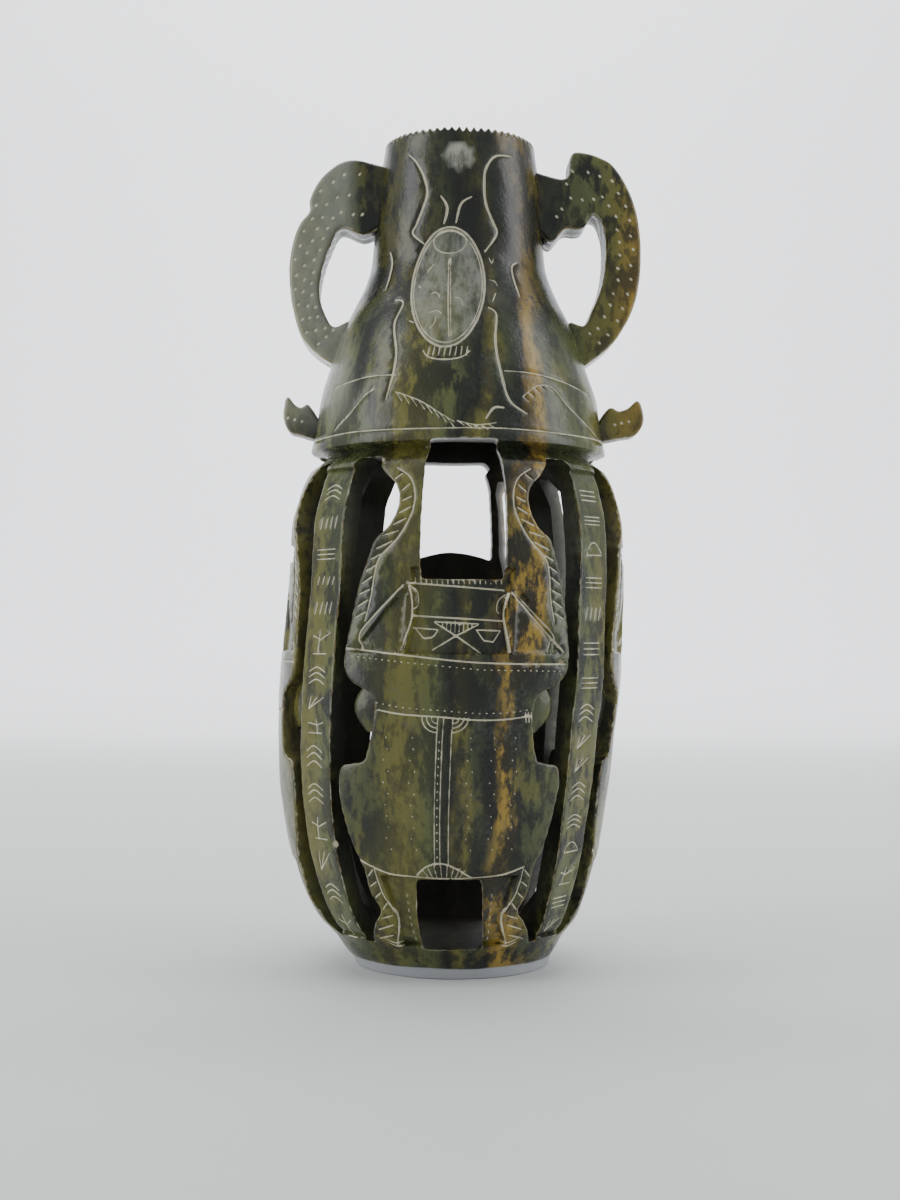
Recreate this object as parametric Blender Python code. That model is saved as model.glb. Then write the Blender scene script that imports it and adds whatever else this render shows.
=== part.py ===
"""Openwork carved stone vase with four scarab panels, four ribs and two serpent handles.

The vase is one block of stone, so it is one object.  A turned, hollow shell is pierced by
windows and slots that leave four scarabs and four straight ribs between the shoulder and the
base.  Shallow recesses set the heads, wings and pillars back, and the handles and tails are
flat slabs joined to the neck and to the shoulder.
"""
import math
from typing import NamedTuple

import bmesh
import bpy
from mathutils import Vector

MM = 0.001

# Turned form, in millimetres
HEIGHT = 240.0
BODY_HEIGHT = 148.0
BODY_RADIUS = 50.0
LIP_RADIUS = 43.2
LIP_EDGE = 1.6
FILLET_RADIUS = 40.6
FILLET_DROP = 3.3
GROOVE_DEPTH = 2.0
GROOVE_DROP = 1.5
RIM_RADIUS = 22.0
BASE_RADIUS = 28.6
BASE_FLARE = 0.6
BASE_BAND = 2.8
WALL = 7.0
SHOULDER_WALL = 5.5
NECK_WALL = 5.0
FLOOR = 8.0

# Sideways wander of the hand-turned axis: height share of HEIGHT, and share of LEAN_REACH
LEAN_REACH = 2.7
LEAN = (
    (0.00, 0.00), (0.035, -0.37), (0.09, -0.81), (0.19, -1.00), (0.27, -0.81), (0.34, -0.41),
    (0.40, -0.11), (0.48, 0.22), (0.62, 0.33), (0.83, 0.22), (1.00, 0.33),
)

# Cut edge of the rim
SCALLOPS = 30
SCALLOP_DEPTH = 1.1
RIM_TOUCH = 0.1

# Panels and ribs, angles in degrees round the axis from the front
FRONT_HALF_ANGLE = 38.5
FRONT_RIB_ANGLE = 51.5
BACK_RIB_ANGLE = 139.3
RIB_HALF_ANGLE = 8.2
PANEL_GAP_ANGLE = 2.8
BACK_PANEL_GAP_ANGLE = 4.8
BACK_LEG_LEAST_ANGLE = 21.0
BACK_WINDOW_ANGLE = 15.1
WINDOW_SHARE = 0.355
WINDOW_HEAD_SHARE = 0.85
WINDOW_CORNER = 1.8
LOWER_WINDOW_SHARE = 0.31

# Depths of the carving, in millimetres
HEAD_SINK = 2.0
WING_SINK = 1.1
FOOT_SINK = 1.6
MIDDLE_LEG_SINK = 3.2
MIDDLE_LEG_INSET = 0.8
RIB_SINK = 1.0
RIGHT_BROW_DEPTH = 4.2
LEFT_BROW_DEPTH = 1.4

# Deepest hollow of the neck inside the straight line from the lip to the rim
NECK_WAIST = 4.6

# Handles and tails, in millimetres
HANDLE_REACH = 31.5
HANDLE_THICKNESS = 14.0
TAIL_THICKNESS = 9.0
TAIL_RISE = 17.0
LEFT_TAIL_REACH = 51.4
RIGHT_TAIL_REACH = 54.6

# Depth of a handle or tail in the wall that it grows from, as a share of the wall
ROOT_DEPTH = 0.45

# Reach of the cutters past what they cut, in millimetres, and past a rib face, in degrees
OVERCUT = 8.0
BURY = 3.0
RIB_OVERCUT_ANGLE = 1.0

# Heights are shares of BODY_HEIGHT, radii are shares of BODY_RADIUS
BODY_PROFILE = (
    (0.057, 0.664), (0.097, 0.764), (0.157, 0.842), (0.255, 0.921), (0.414, 0.980),
    (0.570, 1.000), (0.710, 0.989), (0.850, 0.975), (0.910, 0.936), (0.962, 0.872),
)

# Heights are shares of the stretch from BODY_HEIGHT to HEIGHT, radii are shares of NECK_WAIST
# inside the straight line from LIP_RADIUS to RIM_RADIUS
NECK_PROFILE = (
    (0.060, -0.04), (0.170, -0.26), (0.270, -0.11), (0.360, 0.04), (0.430, 0.33), (0.480, 0.63),
    (0.540, 0.89), (0.605, 1.00), (0.680, 0.80), (0.780, 0.50), (0.870, 0.22), (0.960, 0.07),
)

# Right-hand outline of a scarab: height share of the body, width share of the panel
FRONT_LEG = (
    (0.973, 0.860), (0.941, 0.730), (0.916, 0.595), (0.885, 0.555), (0.856, 0.590),
    (0.834, 0.660), (0.817, 0.755), (0.730, 0.890), (0.660, 0.945),
)
THORAX = ((0.608, 0.975), (0.580, 0.965), (0.560, 0.900), (0.546, 0.780), (0.533, 0.680))
WAIST = ((0.505, 0.655), (0.412, 0.735))
WING_CASES = ((0.402, 0.970), (0.370, 1.000), (0.311, 0.955), (0.260, 0.890), (0.215, 0.800))
HIND_LEG = ((0.170, 0.775), (0.138, 0.695), (0.116, 0.790), (0.068, 0.985))
MIDDLE_LEG = ((0.556, 0.820), (0.540, 0.900), (0.515, 0.945), (0.490, 0.900), (0.466, 0.790))

# Half-width of the head, wings and feet inside a panel, by height share
HEAD_SHAPE = ((0.764, 0.425), (0.700, 0.375), (0.670, 0.375), (0.610, 0.430))
WING_SHAPE = ((0.722, 0.500), (0.612, 0.900))
WING_INNER_SHARE = 0.450
FOOT_SHAPE = ((0.205, 0.640), (0.150, 0.560), (0.105, 0.540), (0.070, 0.600))
MIDDLE_LEG_ROOT_SHARE = 0.600

# Height share of the body and width against LOWER_WINDOW_SHARE at the ends of a lower window
LOWER_WINDOW = ((0.200, 1.0), (0.062, 1.2))

# Heights of the rows of a rib face and of the groove above a side head
RIB_ROWS = (0.955, 0.900, 0.820, 0.640, 0.440, 0.260, 0.130, 0.075)
BROW_ROWS = (0.816, 0.785)
BROW_SHARE = 0.62


def clear_scene():
    for item in list(bpy.data.objects):
        bpy.data.objects.remove(item, do_unlink=True)


def smooth_curve(points, steps):
    """Pass a Catmull-Rom curve through plane points, with some steps between each two."""
    padded = [points[0], *points, points[-1]]
    curve = []
    for index in range(1, len(padded) - 2):
        before, start, end, after = (Vector(point) for point in padded[index - 1:index + 3])
        for step in range(steps):
            share = step / steps
            bend = 2 * before - 5 * start + 4 * end - after
            twist = 3 * (start - end) + after - before
            curve.append(start + 0.5 * share * (end - before + share * (bend + share * twist)))
    curve.append(Vector(points[-1]))
    return curve


def body_profile():
    """Radius and height of the outside from the base to under the lip, in millimetres."""
    return [
        Vector((radius * BODY_RADIUS, height * BODY_HEIGHT))
        for height, radius in BODY_PROFILE
    ]


def radius_at(height):
    """Outside radius of the body at a height, in millimetres."""
    curve = smooth_curve(body_profile(), 3)
    if height <= curve[0].y:
        return curve[0].x
    for lower, upper in zip(curve, curve[1:]):
        if height <= upper.y:
            share = (height - lower.y) / (upper.y - lower.y)
            return lower.x + share * (upper.x - lower.x)
    return curve[-1].x


def neck_height(share):
    """Height at a share of the stretch above the body, in millimetres."""
    return BODY_HEIGHT + share * (HEIGHT - BODY_HEIGHT)


def neck_wall(share):
    """Thickness of the wall at a share of the stretch above the body."""
    return WALL + share * (NECK_WALL - WALL)


def neck_radius(share):
    """Outside radius at a share of the stretch above the body, in millimetres."""
    knots = ((0.0, 0.0), *NECK_PROFILE, (1.0, 0.0))
    for (low, first), (high, second) in zip(knots, knots[1:]):
        if share <= high:
            inset = first + (share - low) / (high - low) * (second - first)
            break
    return LIP_RADIUS + share * (RIM_RADIUS - LIP_RADIUS) - inset * NECK_WAIST


def outer_profile():
    """Half outline of the outside, from the foot of the base up to the rim."""
    points = [Vector((BASE_RADIUS, 0.0)), Vector((BASE_RADIUS + BASE_FLARE, BASE_BAND))]
    points += body_profile()
    points.append(Vector((FILLET_RADIUS, BODY_HEIGHT - FILLET_DROP)))
    points.append(Vector((FILLET_RADIUS - GROOVE_DEPTH, BODY_HEIGHT - GROOVE_DROP)))
    points.append(Vector((LIP_RADIUS, BODY_HEIGHT)))
    points.append(Vector((LIP_RADIUS, BODY_HEIGHT + LIP_EDGE)))
    points += [Vector((neck_radius(share), neck_height(share))) for share, _ in NECK_PROFILE]
    points.append(Vector((RIM_RADIUS, HEIGHT)))
    return points


def inner_profile():
    """Half outline of the hollow, from the rim down to the floor."""
    points = [Vector((RIM_RADIUS - NECK_WALL, HEIGHT))]
    for share, _ in reversed(NECK_PROFILE[1::2]):
        points.append(Vector((neck_radius(share) - neck_wall(share), neck_height(share))))
    shoulder = FILLET_RADIUS - GROOVE_DEPTH - SHOULDER_WALL
    points.append(Vector((shoulder, BODY_HEIGHT - GROOVE_DROP)))
    for height, radius in reversed(BODY_PROFILE[2::2]):
        points.append(Vector((radius * BODY_RADIUS - WALL, height * BODY_HEIGHT)))
    points.append(Vector((radius_at(FLOOR) - WALL, FLOOR)))
    return points


def lean(height):
    """How far the axis stands to the right at a height, in millimetres."""
    share = min(max(height / HEIGHT, 0.0), 1.0)
    for (low, first), (high, second) in zip(LEAN, LEAN[1:]):
        if share <= high:
            return LEAN_REACH * (first + (share - low) / (high - low) * (second - first))
    return LEAN_REACH * LEAN[-1][1]


def place(azimuth, radius, height):
    """Point at an angle from the front, in degrees, with radius and height in millimetres."""
    angle = math.radians(azimuth)
    return Vector((radius * math.sin(angle), -radius * math.cos(angle), height)) * MM


def make_object(name, shape, helper=False):
    mesh = bpy.data.meshes.new(name)
    bmesh.ops.remove_doubles(shape, verts=shape.verts, dist=0.00001)
    bmesh.ops.recalc_face_normals(shape, faces=shape.faces)
    shape.to_mesh(mesh)
    shape.free()
    item = bpy.data.objects.new(name, mesh)
    bpy.context.scene.collection.objects.link(item)
    if helper:
        item.hide_render = True
        item.display_type = 'WIRE'
    return item


def turned_shell():
    """Spin the half outline of the wall round the axis and cut the scallops into the rim."""
    shape = bmesh.new()
    outline = [Vector((0.0, 0.0)), *outer_profile(), *inner_profile(), Vector((0.0, FLOOR))]
    verts = [shape.verts.new(place(0.0, point.x, point.y)) for point in outline]
    edges = [shape.edges.new(pair) for pair in zip(verts, verts[1:])]
    bmesh.ops.spin(
        shape,
        geom=verts + edges,
        axis=(0.0, 0.0, 1.0),
        cent=(0.0, 0.0, 0.0),
        angle=2 * math.pi,
        steps=2 * SCALLOPS,
        use_merge=True,
    )
    bmesh.ops.remove_doubles(shape, verts=shape.verts, dist=0.00001)
    for vert in shape.verts:
        turn = math.atan2(vert.co.x, -vert.co.y) / (2 * math.pi) * 2 * SCALLOPS
        if vert.co.z > (HEIGHT - RIM_TOUCH) * MM and round(turn) % 2:
            vert.co.z -= SCALLOP_DEPTH * MM
    return shape


def straight_angle(angle, middle, height, radius):
    """Angle at a radius that stands as far from the middle line as the angle does outside."""
    aside = radius_at(height) * math.sin(math.radians(angle - middle))
    return middle + math.degrees(math.asin(aside / radius))


def radial_block(shape, rows, inside, outside, columns=1, straight=False):
    """Add a closed block between two radii, from rows of height and two angles.

    inside and outside give the radius at a height, and columns is the number of faces
    across each row.  The sides of a straight block run beside each other, not to the axis.
    """
    rings = []
    for height, start, end in rows:
        angles = [start + (end - start) * step / columns for step in range(columns + 1)]
        near, far = angles, angles
        if straight:
            middle = 0.5 * (start + end)
            near = [straight_angle(angle, middle, height, inside(height)) for angle in angles]
            far = [straight_angle(angle, middle, height, outside(height)) for angle in angles]
        ring = [place(angle, inside(height), height) for angle in near]
        ring += [place(angle, outside(height), height) for angle in reversed(far)]
        rings.append([shape.verts.new(point) for point in ring])
    for lower, upper in zip(rings, rings[1:]):
        for index in range(len(lower)):
            following = (index + 1) % len(lower)
            shape.faces.new((lower[index], lower[following], upper[following], upper[index]))
    for ring in (rings[0], rings[-1]):
        for step in range(columns):
            back = len(ring) - 1 - step
            shape.faces.new((ring[step], ring[step + 1], ring[back - 1], ring[back]))


def through_in(height):
    """Radius inside the wall, where a cutter that goes right through starts."""
    return max(radius_at(height) - WALL - OVERCUT, BURY)


def beyond(height):
    """Radius outside everything that is cut."""
    return BODY_RADIUS + OVERCUT


def sunk(depth):
    """Radius function that lies a depth under the outside of the body."""
    return lambda height: radius_at(height) - depth


class Panel(NamedTuple):
    """One scarab: angles in degrees, window ends as height shares of the body."""

    centre: float
    half: float
    rib_edge: float
    leg_least: float
    window_half: float
    window_foot: float
    window_head: float
    head_top_share: float


def panels():
    """The front, right, back and left scarab."""
    front_rib = FRONT_RIB_ANGLE - RIB_HALF_ANGLE
    back_rib = 180.0 - BACK_RIB_ANGLE - RIB_HALF_ANGLE
    side = 0.5 * (FRONT_RIB_ANGLE + BACK_RIB_ANGLE)
    side_rib = side - FRONT_RIB_ANGLE - RIB_HALF_ANGLE
    side_half = side_rib - PANEL_GAP_ANGLE
    back_half = back_rib - BACK_PANEL_GAP_ANGLE
    front_window = WINDOW_SHARE * FRONT_HALF_ANGLE
    side_window = WINDOW_SHARE * side_half
    least, back_window = BACK_LEG_LEAST_ANGLE, BACK_WINDOW_ANGLE
    return (
        Panel(0.0, FRONT_HALF_ANGLE, front_rib, 0.0, front_window, 0.744, 1.003, 1.00),
        Panel(side, side_half, side_rib, 0.0, side_window, 0.790, 1.003, 0.62),
        Panel(180.0, back_half, back_rib, least, back_window, 0.800, 1.014, 0.62),
        Panel(360.0 - side, side_half, side_rib, 0.0, side_window, 0.790, 1.003, 0.62),
    )


def centred_rows(panel, shape):
    """Rows across the middle of a panel, from height shares and half-width shares."""
    return [
        (height * BODY_HEIGHT, panel.centre - share * panel.half, panel.centre + share * panel.half)
        for height, share in shape
    ]


def side_rows(panel, side, shape, inner_share):
    """Rows on one side of a panel, from an inner share out to the shares of the shape."""
    return [
        (
            height * BODY_HEIGHT,
            panel.centre + side * inner_share * panel.half,
            panel.centre + side * share * panel.half,
        )
        for height, share in shape
    ]


def slot_rows(panel, side):
    """Rows of the slot between the outline of a scarab and the rib beside it."""
    least = panel.leg_least / panel.half
    front_leg = [(height, max(share, least)) for height, share in FRONT_LEG]
    knots = (*front_leg, *THORAX, *WAIST, *WING_CASES, *HIND_LEG)
    return side_rows(panel, side, knots, panel.rib_edge / panel.half)


def window_rows(panel):
    """Rows of an upper window, whose lower edge is the top of the scarab's head."""
    corner = WINDOW_CORNER / BODY_HEIGHT
    share = panel.window_half / panel.half
    shape = (
        (panel.window_head, share * WINDOW_HEAD_SHARE),
        (panel.window_head - corner, share),
        (panel.window_foot + corner, share),
        (panel.window_foot, share * panel.head_top_share),
    )
    return centred_rows(panel, shape)


def gap_cutters():
    """Slots beside the ribs, the upper windows, and the lower windows of all but the back."""
    shape = bmesh.new()
    lower = [(height, LOWER_WINDOW_SHARE * share) for height, share in LOWER_WINDOW]
    for panel in panels():
        for side in (-1, 1):
            radial_block(shape, slot_rows(panel, side), through_in, beyond)
        radial_block(shape, window_rows(panel), through_in, beyond, 3, straight=True)
        if panel.centre != 180.0:
            rows = centred_rows(panel, lower)
            radial_block(shape, rows, through_in, beyond, 3, straight=True)
    return shape


def recess_cutters():
    """Shallow recesses of the heads, the wings and the feet."""
    shape = bmesh.new()
    for panel in panels():
        head_top = panel.window_foot + BURY / BODY_HEIGHT
        head = ((head_top, HEAD_SHAPE[0][1]), *HEAD_SHAPE[1:])
        radial_block(shape, centred_rows(panel, head), sunk(HEAD_SINK), beyond, 3)
        radial_block(shape, centred_rows(panel, FOOT_SHAPE), sunk(FOOT_SINK), beyond, 3)
        for side in (-1, 1):
            wing = side_rows(panel, side, WING_SHAPE, WING_INNER_SHARE)
            radial_block(shape, wing, sunk(WING_SINK), beyond, 2)
    return shape


def face_cutters():
    """Flat faces of the four ribs, and the groove above each side head."""
    shape = bmesh.new()
    brow = [(height, BROW_SHARE) for height in BROW_ROWS]
    for index, depth in ((1, RIGHT_BROW_DEPTH), (3, LEFT_BROW_DEPTH)):
        radial_block(shape, centred_rows(panels()[index], brow), sunk(depth), beyond, 3)
    wide = RIB_HALF_ANGLE + RIB_OVERCUT_ANGLE
    right = (FRONT_RIB_ANGLE, BACK_RIB_ANGLE)
    for centre in (*right, *(360.0 - angle for angle in right)):
        rib = [(height * BODY_HEIGHT, centre - wide, centre + wide) for height in RIB_ROWS]
        radial_block(shape, rib, sunk(RIB_SINK), beyond)
    return shape


def middle_legs():
    """The eight middle legs, set deep in the slots beside the waists."""
    shape = bmesh.new()
    for panel in panels():
        for side in (-1, 1):
            rows = side_rows(panel, side, MIDDLE_LEG, MIDDLE_LEG_ROOT_SHARE)
            radial_block(shape, rows, sunk(WALL - MIDDLE_LEG_INSET), sunk(MIDDLE_LEG_SINK), 2)
    return shape


def slab(shape, outline, thickness, side):
    """Add a plate across Y from a closed outline of reach and height in millimetres."""
    before = set(shape.verts)
    for depth in (-thickness / 2, thickness / 2):
        for point in outline:
            shape.verts.new(Vector((side * point[0], depth, point[1])) * MM)
    added = [vert for vert in shape.verts if vert not in before]
    count = len(outline)
    near, far = added[:count], added[count:]
    shape.faces.new(near)
    shape.faces.new(list(reversed(far)))
    for index in range(count):
        following = (index + 1) % count
        shape.faces.new((near[index], far[index], far[following], near[following]))


# Backs and finger gaps of the two handles from the top down: share of HANDLE_REACH beyond
# RIM_RADIUS, and height share of the stretch above the body
LEFT_BACK = (
    (0.254, 0.939), (0.425, 0.929), (0.603, 0.876), (0.695, 0.813), (0.698, 0.772),
    (0.787, 0.732), (0.851, 0.668), (0.879, 0.583), (0.851, 0.478), (0.775, 0.383),
    (0.641, 0.324),
)
LEFT_GAP = (
    (0.190, 0.701), (0.365, 0.723), (0.435, 0.713), (0.483, 0.680), (0.540, 0.630),
    (0.587, 0.565), (0.597, 0.500), (0.540, 0.440), (0.460, 0.404), (0.317, 0.424),
)
RIGHT_BACK = (
    (0.286, 0.891), (0.337, 0.967), (0.444, 0.976), (0.603, 0.961), (0.730, 0.935),
    (0.857, 0.872), (0.952, 0.791), (0.997, 0.700), (1.000, 0.604), (0.959, 0.505),
    (0.857, 0.422), (0.705, 0.350),
)
RIGHT_GAP = (
    (0.159, 0.685), (0.286, 0.730), (0.397, 0.730), (0.476, 0.739), (0.533, 0.777),
    (0.610, 0.765), (0.667, 0.707), (0.673, 0.630), (0.635, 0.544), (0.540, 0.462),
    (0.470, 0.418), (0.333, 0.429),
)

# Where the four lines above start and end in the wall, as height shares
BACK_ROOTS = (0.915, 0.277)
GAP_ROOTS = (0.730, 0.391)

# Tails: share of the reach beyond the lip, and share of TAIL_RISE above the lip's underside
TAIL = (
    (0.10, 0.86), (0.36, 0.81), (0.60, 0.86), (0.86, 1.00), (1.00, 0.76), (0.97, 0.56),
    (0.78, 0.39), (0.45, 0.34), (-0.05, 0.27),
)
TAIL_ROOTS = (0.50, 0.24)


def handle_line(points, roots):
    """Smooth line of one side of a handle, with both ends in the wall of the neck."""
    line = [
        (RIM_RADIUS + reach * HANDLE_REACH, neck_height(share))
        for reach, share in points
    ]
    ends = [
        (neck_radius(share) - ROOT_DEPTH * neck_wall(share), neck_height(share))
        for share in roots
    ]
    return smooth_curve([ends[0], *line, ends[1]], 2)


def tail_outline(reach):
    """Closed outline of a curled tail that stands a reach out from the axis."""
    span = reach - LIP_RADIUS
    root = LIP_RADIUS - ROOT_DEPTH * WALL
    outline = [(root, BODY_HEIGHT + TAIL_ROOTS[0] * TAIL_RISE)]
    outline += [
        (LIP_RADIUS + share * span, BODY_HEIGHT + lift * TAIL_RISE)
        for share, lift in TAIL
    ]
    outline.append((root, BODY_HEIGHT + TAIL_ROOTS[1] * TAIL_RISE))
    return smooth_curve(outline, 2)


def handles():
    """Both serpent handles and both tails."""
    shape = bmesh.new()
    for side, back, gap in ((-1, LEFT_BACK, LEFT_GAP), (1, RIGHT_BACK, RIGHT_GAP)):
        outline = handle_line(back, BACK_ROOTS) + handle_line(gap, GAP_ROOTS)[::-1]
        slab(shape, outline, HANDLE_THICKNESS, side)
    for side, reach in ((-1, LEFT_TAIL_REACH), (1, RIGHT_TAIL_REACH)):
        slab(shape, tail_outline(reach), TAIL_THICKNESS, side)
    return shape


def stone_material():
    material = bpy.data.materials.new("banded_soapstone")
    material.use_nodes = True
    shader = material.node_tree.nodes["Principled BSDF"]
    shader.inputs["Base Color"].default_value = (0.075, 0.078, 0.045, 1.0)
    shader.inputs["Roughness"].default_value = 0.38
    shader.inputs["Metallic"].default_value = 0.0
    return material


def combine(target, other, operation):
    step = target.modifiers.new(other.name, 'BOOLEAN')
    step.operation = operation
    step.solver = 'EXACT'
    step.object = other


def drop_flat_pairs(shape):
    """Take out triangles that lie back to back on the same three corners."""
    groups = {}
    for face in shape.faces:
        groups.setdefault(frozenset(face.verts), []).append(face)
    flat = [face for group in groups.values() if len(group) > 1 for face in group]
    bmesh.ops.delete(shape, geom=flat, context='FACES')


def settle(vase, helpers):
    """Fix the cut shape in the vase, give it the wander of its axis and centre it."""
    depsgraph = bpy.context.evaluated_depsgraph_get()
    mesh = bpy.data.meshes.new_from_object(vase.evaluated_get(depsgraph))
    vase.modifiers.clear()
    vase.data = mesh
    for helper in helpers:
        bpy.data.objects.remove(helper, do_unlink=True)
    shape = bmesh.new()
    shape.from_mesh(mesh)
    bmesh.ops.triangulate(shape, faces=shape.faces)
    drop_flat_pairs(shape)
    for vert in shape.verts:
        vert.co.x += lean(vert.co.z / MM) * MM
    for axis in (0, 1):
        places = [vert.co[axis] for vert in shape.verts]
        middle = 0.5 * (min(places) + max(places))
        for vert in shape.verts:
            vert.co[axis] -= middle
    shape.to_mesh(mesh)
    shape.free()


def main():
    clear_scene()
    vase = make_object("vase", turned_shell())
    gaps = make_object("gap_cutters", gap_cutters(), helper=True)
    recesses = make_object("recess_cutters", recess_cutters(), helper=True)
    faces = make_object("face_cutters", face_cutters(), helper=True)
    legs = make_object("middle_leg_blocks", middle_legs(), helper=True)
    grips = make_object("handle_slabs", handles(), helper=True)
    combine(vase, gaps, 'DIFFERENCE')
    combine(vase, recesses, 'DIFFERENCE')
    combine(vase, faces, 'DIFFERENCE')
    combine(vase, legs, 'UNION')
    combine(vase, grips, 'UNION')
    vase.data.materials.append(stone_material())
    settle(vase, (gaps, recesses, faces, legs, grips))


main()
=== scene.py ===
"""Openwork carved stone vase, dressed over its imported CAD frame.

The vase is one block of banded stone, so it is one piece.  Its outside is a sheet laid out in a
plane by an angle-keeping map (the plane radius is the exponential of the arc length measured in
radii), so that engraved lines, window edges and carved steps all get points of their own.  The
sheet is lifted back on to the turned form, sunk along the strokes, and joined through the
window walls to a plainer sheet inside.
"""
import logging
import math
from dataclasses import dataclass, field, replace
from enum import Enum
from typing import Iterable, Sequence

import bpy
import numpy as np
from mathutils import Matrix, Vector
from mathutils.geometry import delaunay_2d_cdt


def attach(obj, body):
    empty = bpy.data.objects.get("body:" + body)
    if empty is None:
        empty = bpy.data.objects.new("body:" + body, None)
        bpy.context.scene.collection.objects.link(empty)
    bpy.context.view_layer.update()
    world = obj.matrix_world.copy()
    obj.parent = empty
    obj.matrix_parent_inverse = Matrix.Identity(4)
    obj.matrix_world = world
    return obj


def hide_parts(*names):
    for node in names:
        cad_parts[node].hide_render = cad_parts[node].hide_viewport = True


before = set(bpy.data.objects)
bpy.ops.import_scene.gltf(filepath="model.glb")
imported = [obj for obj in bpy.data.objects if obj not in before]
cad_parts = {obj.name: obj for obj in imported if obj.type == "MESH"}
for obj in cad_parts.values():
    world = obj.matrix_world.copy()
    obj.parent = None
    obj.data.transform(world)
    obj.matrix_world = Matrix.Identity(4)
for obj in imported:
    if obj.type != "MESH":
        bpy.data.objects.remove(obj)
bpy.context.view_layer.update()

MM = 0.001
Array = np.ndarray
Line = Sequence[tuple[float, float]]
LOG = logging.getLogger("vase")
NO_TRIANGLES = np.zeros((0, 3), int)
FRONT, BACK = 0.0, 180.0


def smooth_line(points: Line, steps: int) -> Array:
    """Carry a Catmull-Rom curve through plane points, all its stretches at once.

    Args:
        points: the plane points that it passes.
        steps: points made for each stretch.

    Returns:
        The points of the curve, one row each.
    """
    knots = np.asarray(points, float)
    knots = np.vstack([knots[:1], knots, knots[-1:]])
    share = (np.arange(steps) / steps)[None, :, None]
    before, start, end, after = (knots[first:len(knots) - 3 + first, None] for first in range(4))
    bend = 2 * before - 5 * start + 4 * end - after
    twist = 3 * (start - end) + after - before
    curve = start + 0.5 * share * (end - before + share * (bend + share * twist))
    return np.vstack([curve.reshape(-1, 2), knots[-2]])


def eased(at: Array, places: Sequence[float], values: Sequence[float]) -> Array:
    """Monotone cubic curve: the slope at a knot is the harmonic mean of its two sides.

    Args:
        at: where the curve is wanted.
        places: rising places of the knots.
        values: values at the knots.

    Returns:
        The values of the curve.
    """
    x, y = np.asarray(places, float), np.asarray(values, float)
    run = np.diff(x)
    rise = np.diff(y) / run
    slope = np.zeros_like(y)
    near, far = 2 * run[1:] + run[:-1], run[1:] + 2 * run[:-1]
    same = rise[:-1] * rise[1:] > 0
    safe = np.where(same, rise[:-1], 1.0), np.where(same, rise[1:], 1.0)
    slope[1:-1] = np.where(same, (near + far) / (near / safe[0] + far / safe[1]), 0.0)
    slope[0], slope[-1] = rise[0], rise[-1]
    part = np.clip(np.searchsorted(x, at) - 1, 0, len(run) - 1)
    t = (np.asarray(at, float) - x[part]) / run[part]
    return (
        (1 + 2 * t) * (1 - t) ** 2 * y[part]
        + t * (1 - t) ** 2 * run[part] * slope[part]
        + t ** 2 * (3 - 2 * t) * y[part + 1]
        + t ** 2 * (t - 1) * run[part] * slope[part + 1]
    )


def smoothstep(value: Array) -> Array:
    """Rise from 0 to 1 with flat ends: 3t² - 2t³."""
    share = np.clip(value, 0.0, 1.0)
    return share * share * (3 - 2 * share)


def turned(angle: Array, centre: float) -> Array:
    """Angles from a centre, brought between -180 and 180 degrees."""
    return (angle - centre + 180) % 360 - 180


def evenly(line: Array, lengths: Array, gap: float) -> Array:
    """Points at even distances along a line.

    Args:
        line: the points of the line.
        lengths: the length of each of its stretches, in millimetres.
        gap: about how far apart the new points stand, in millimetres.

    Returns:
        The new points, the two ends among them.
    """
    reach = np.concatenate([[0.0], np.cumsum(lengths)])
    count = max(2, int(round(reach[-1] / gap)) + 1)
    at = np.linspace(0.0, reach[-1], count)
    return np.column_stack([np.interp(at, reach, line[:, axis]) for axis in range(2)])


def nearest(points: Array, marks: Array, reach: float) -> tuple[Array, Array]:
    """Find the closest mark to each point, a thin layer of height at a time.

    Args:
        points: places in space.
        marks: marks in space.
        reach: marks further than this above or below are left out.

    Returns:
        The distance to the closest mark, and its number.
    """
    distance = np.full(len(points), 1e9)
    number = np.zeros(len(points), int)
    if not len(marks) or not len(points):
        return distance, number
    order = np.argsort(marks[:, 2])
    heights = marks[order, 2]
    for part in np.array_split(np.argsort(points[:, 2]), max(1, len(points) // 200)):
        low = np.searchsorted(heights, points[part[0], 2] - reach)
        high = np.searchsorted(heights, points[part[-1], 2] + reach)
        if low == high:
            continue
        close = order[low:high]
        square = ((points[part, None] - marks[None, close]) ** 2).sum(-1)
        best = square.argmin(1)
        distance[part] = np.sqrt(square[np.arange(len(part)), best])
        number[part] = close[best]
    return distance, number


def inside(points: Array, loop: Array) -> Array:
    """Tell which plane points lie in a closed outline, by counting the edges crossed.

    Args:
        points: plane points.
        loop: the closed outline.

    Returns:
        True for each point inside.
    """
    hit = np.zeros(len(points), bool)
    low, high = loop.min(0), loop.max(0)
    near = np.flatnonzero(((points >= low) & (points <= high)).all(1))
    if not len(near):
        return hit
    x, y = points[near, 0][:, None], points[near, 1][:, None]
    x0, y0 = loop[:, 0][None], loop[:, 1][None]
    x1, y1 = np.roll(x0, -1, 1), np.roll(y0, -1, 1)
    cross = (y0 > y) != (y1 > y)
    run = np.where(y1 == y0, 1.0, y1 - y0)
    hit[near] = (cross & (x < (x1 - x0) * (y - y0) / run + x0)).sum(1) % 2 == 1
    return hit


def triangulate(plane: Array, edges: Array) -> tuple[Array, Array]:
    """Join plane points into triangles that keep the given edges.

    Args:
        plane: plane points.
        edges: pairs of point numbers that have to be edges.

    Returns:
        The points, with the crossings of edges added at the end, and the triangles.
    """
    made, _, faces, _, _, _ = delaunay_2d_cdt(
        [Vector(point) for point in plane.tolist()], edges.tolist(), [], 0, 1e-6)
    return np.array([point[:] for point in made]), np.array(faces)


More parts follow.
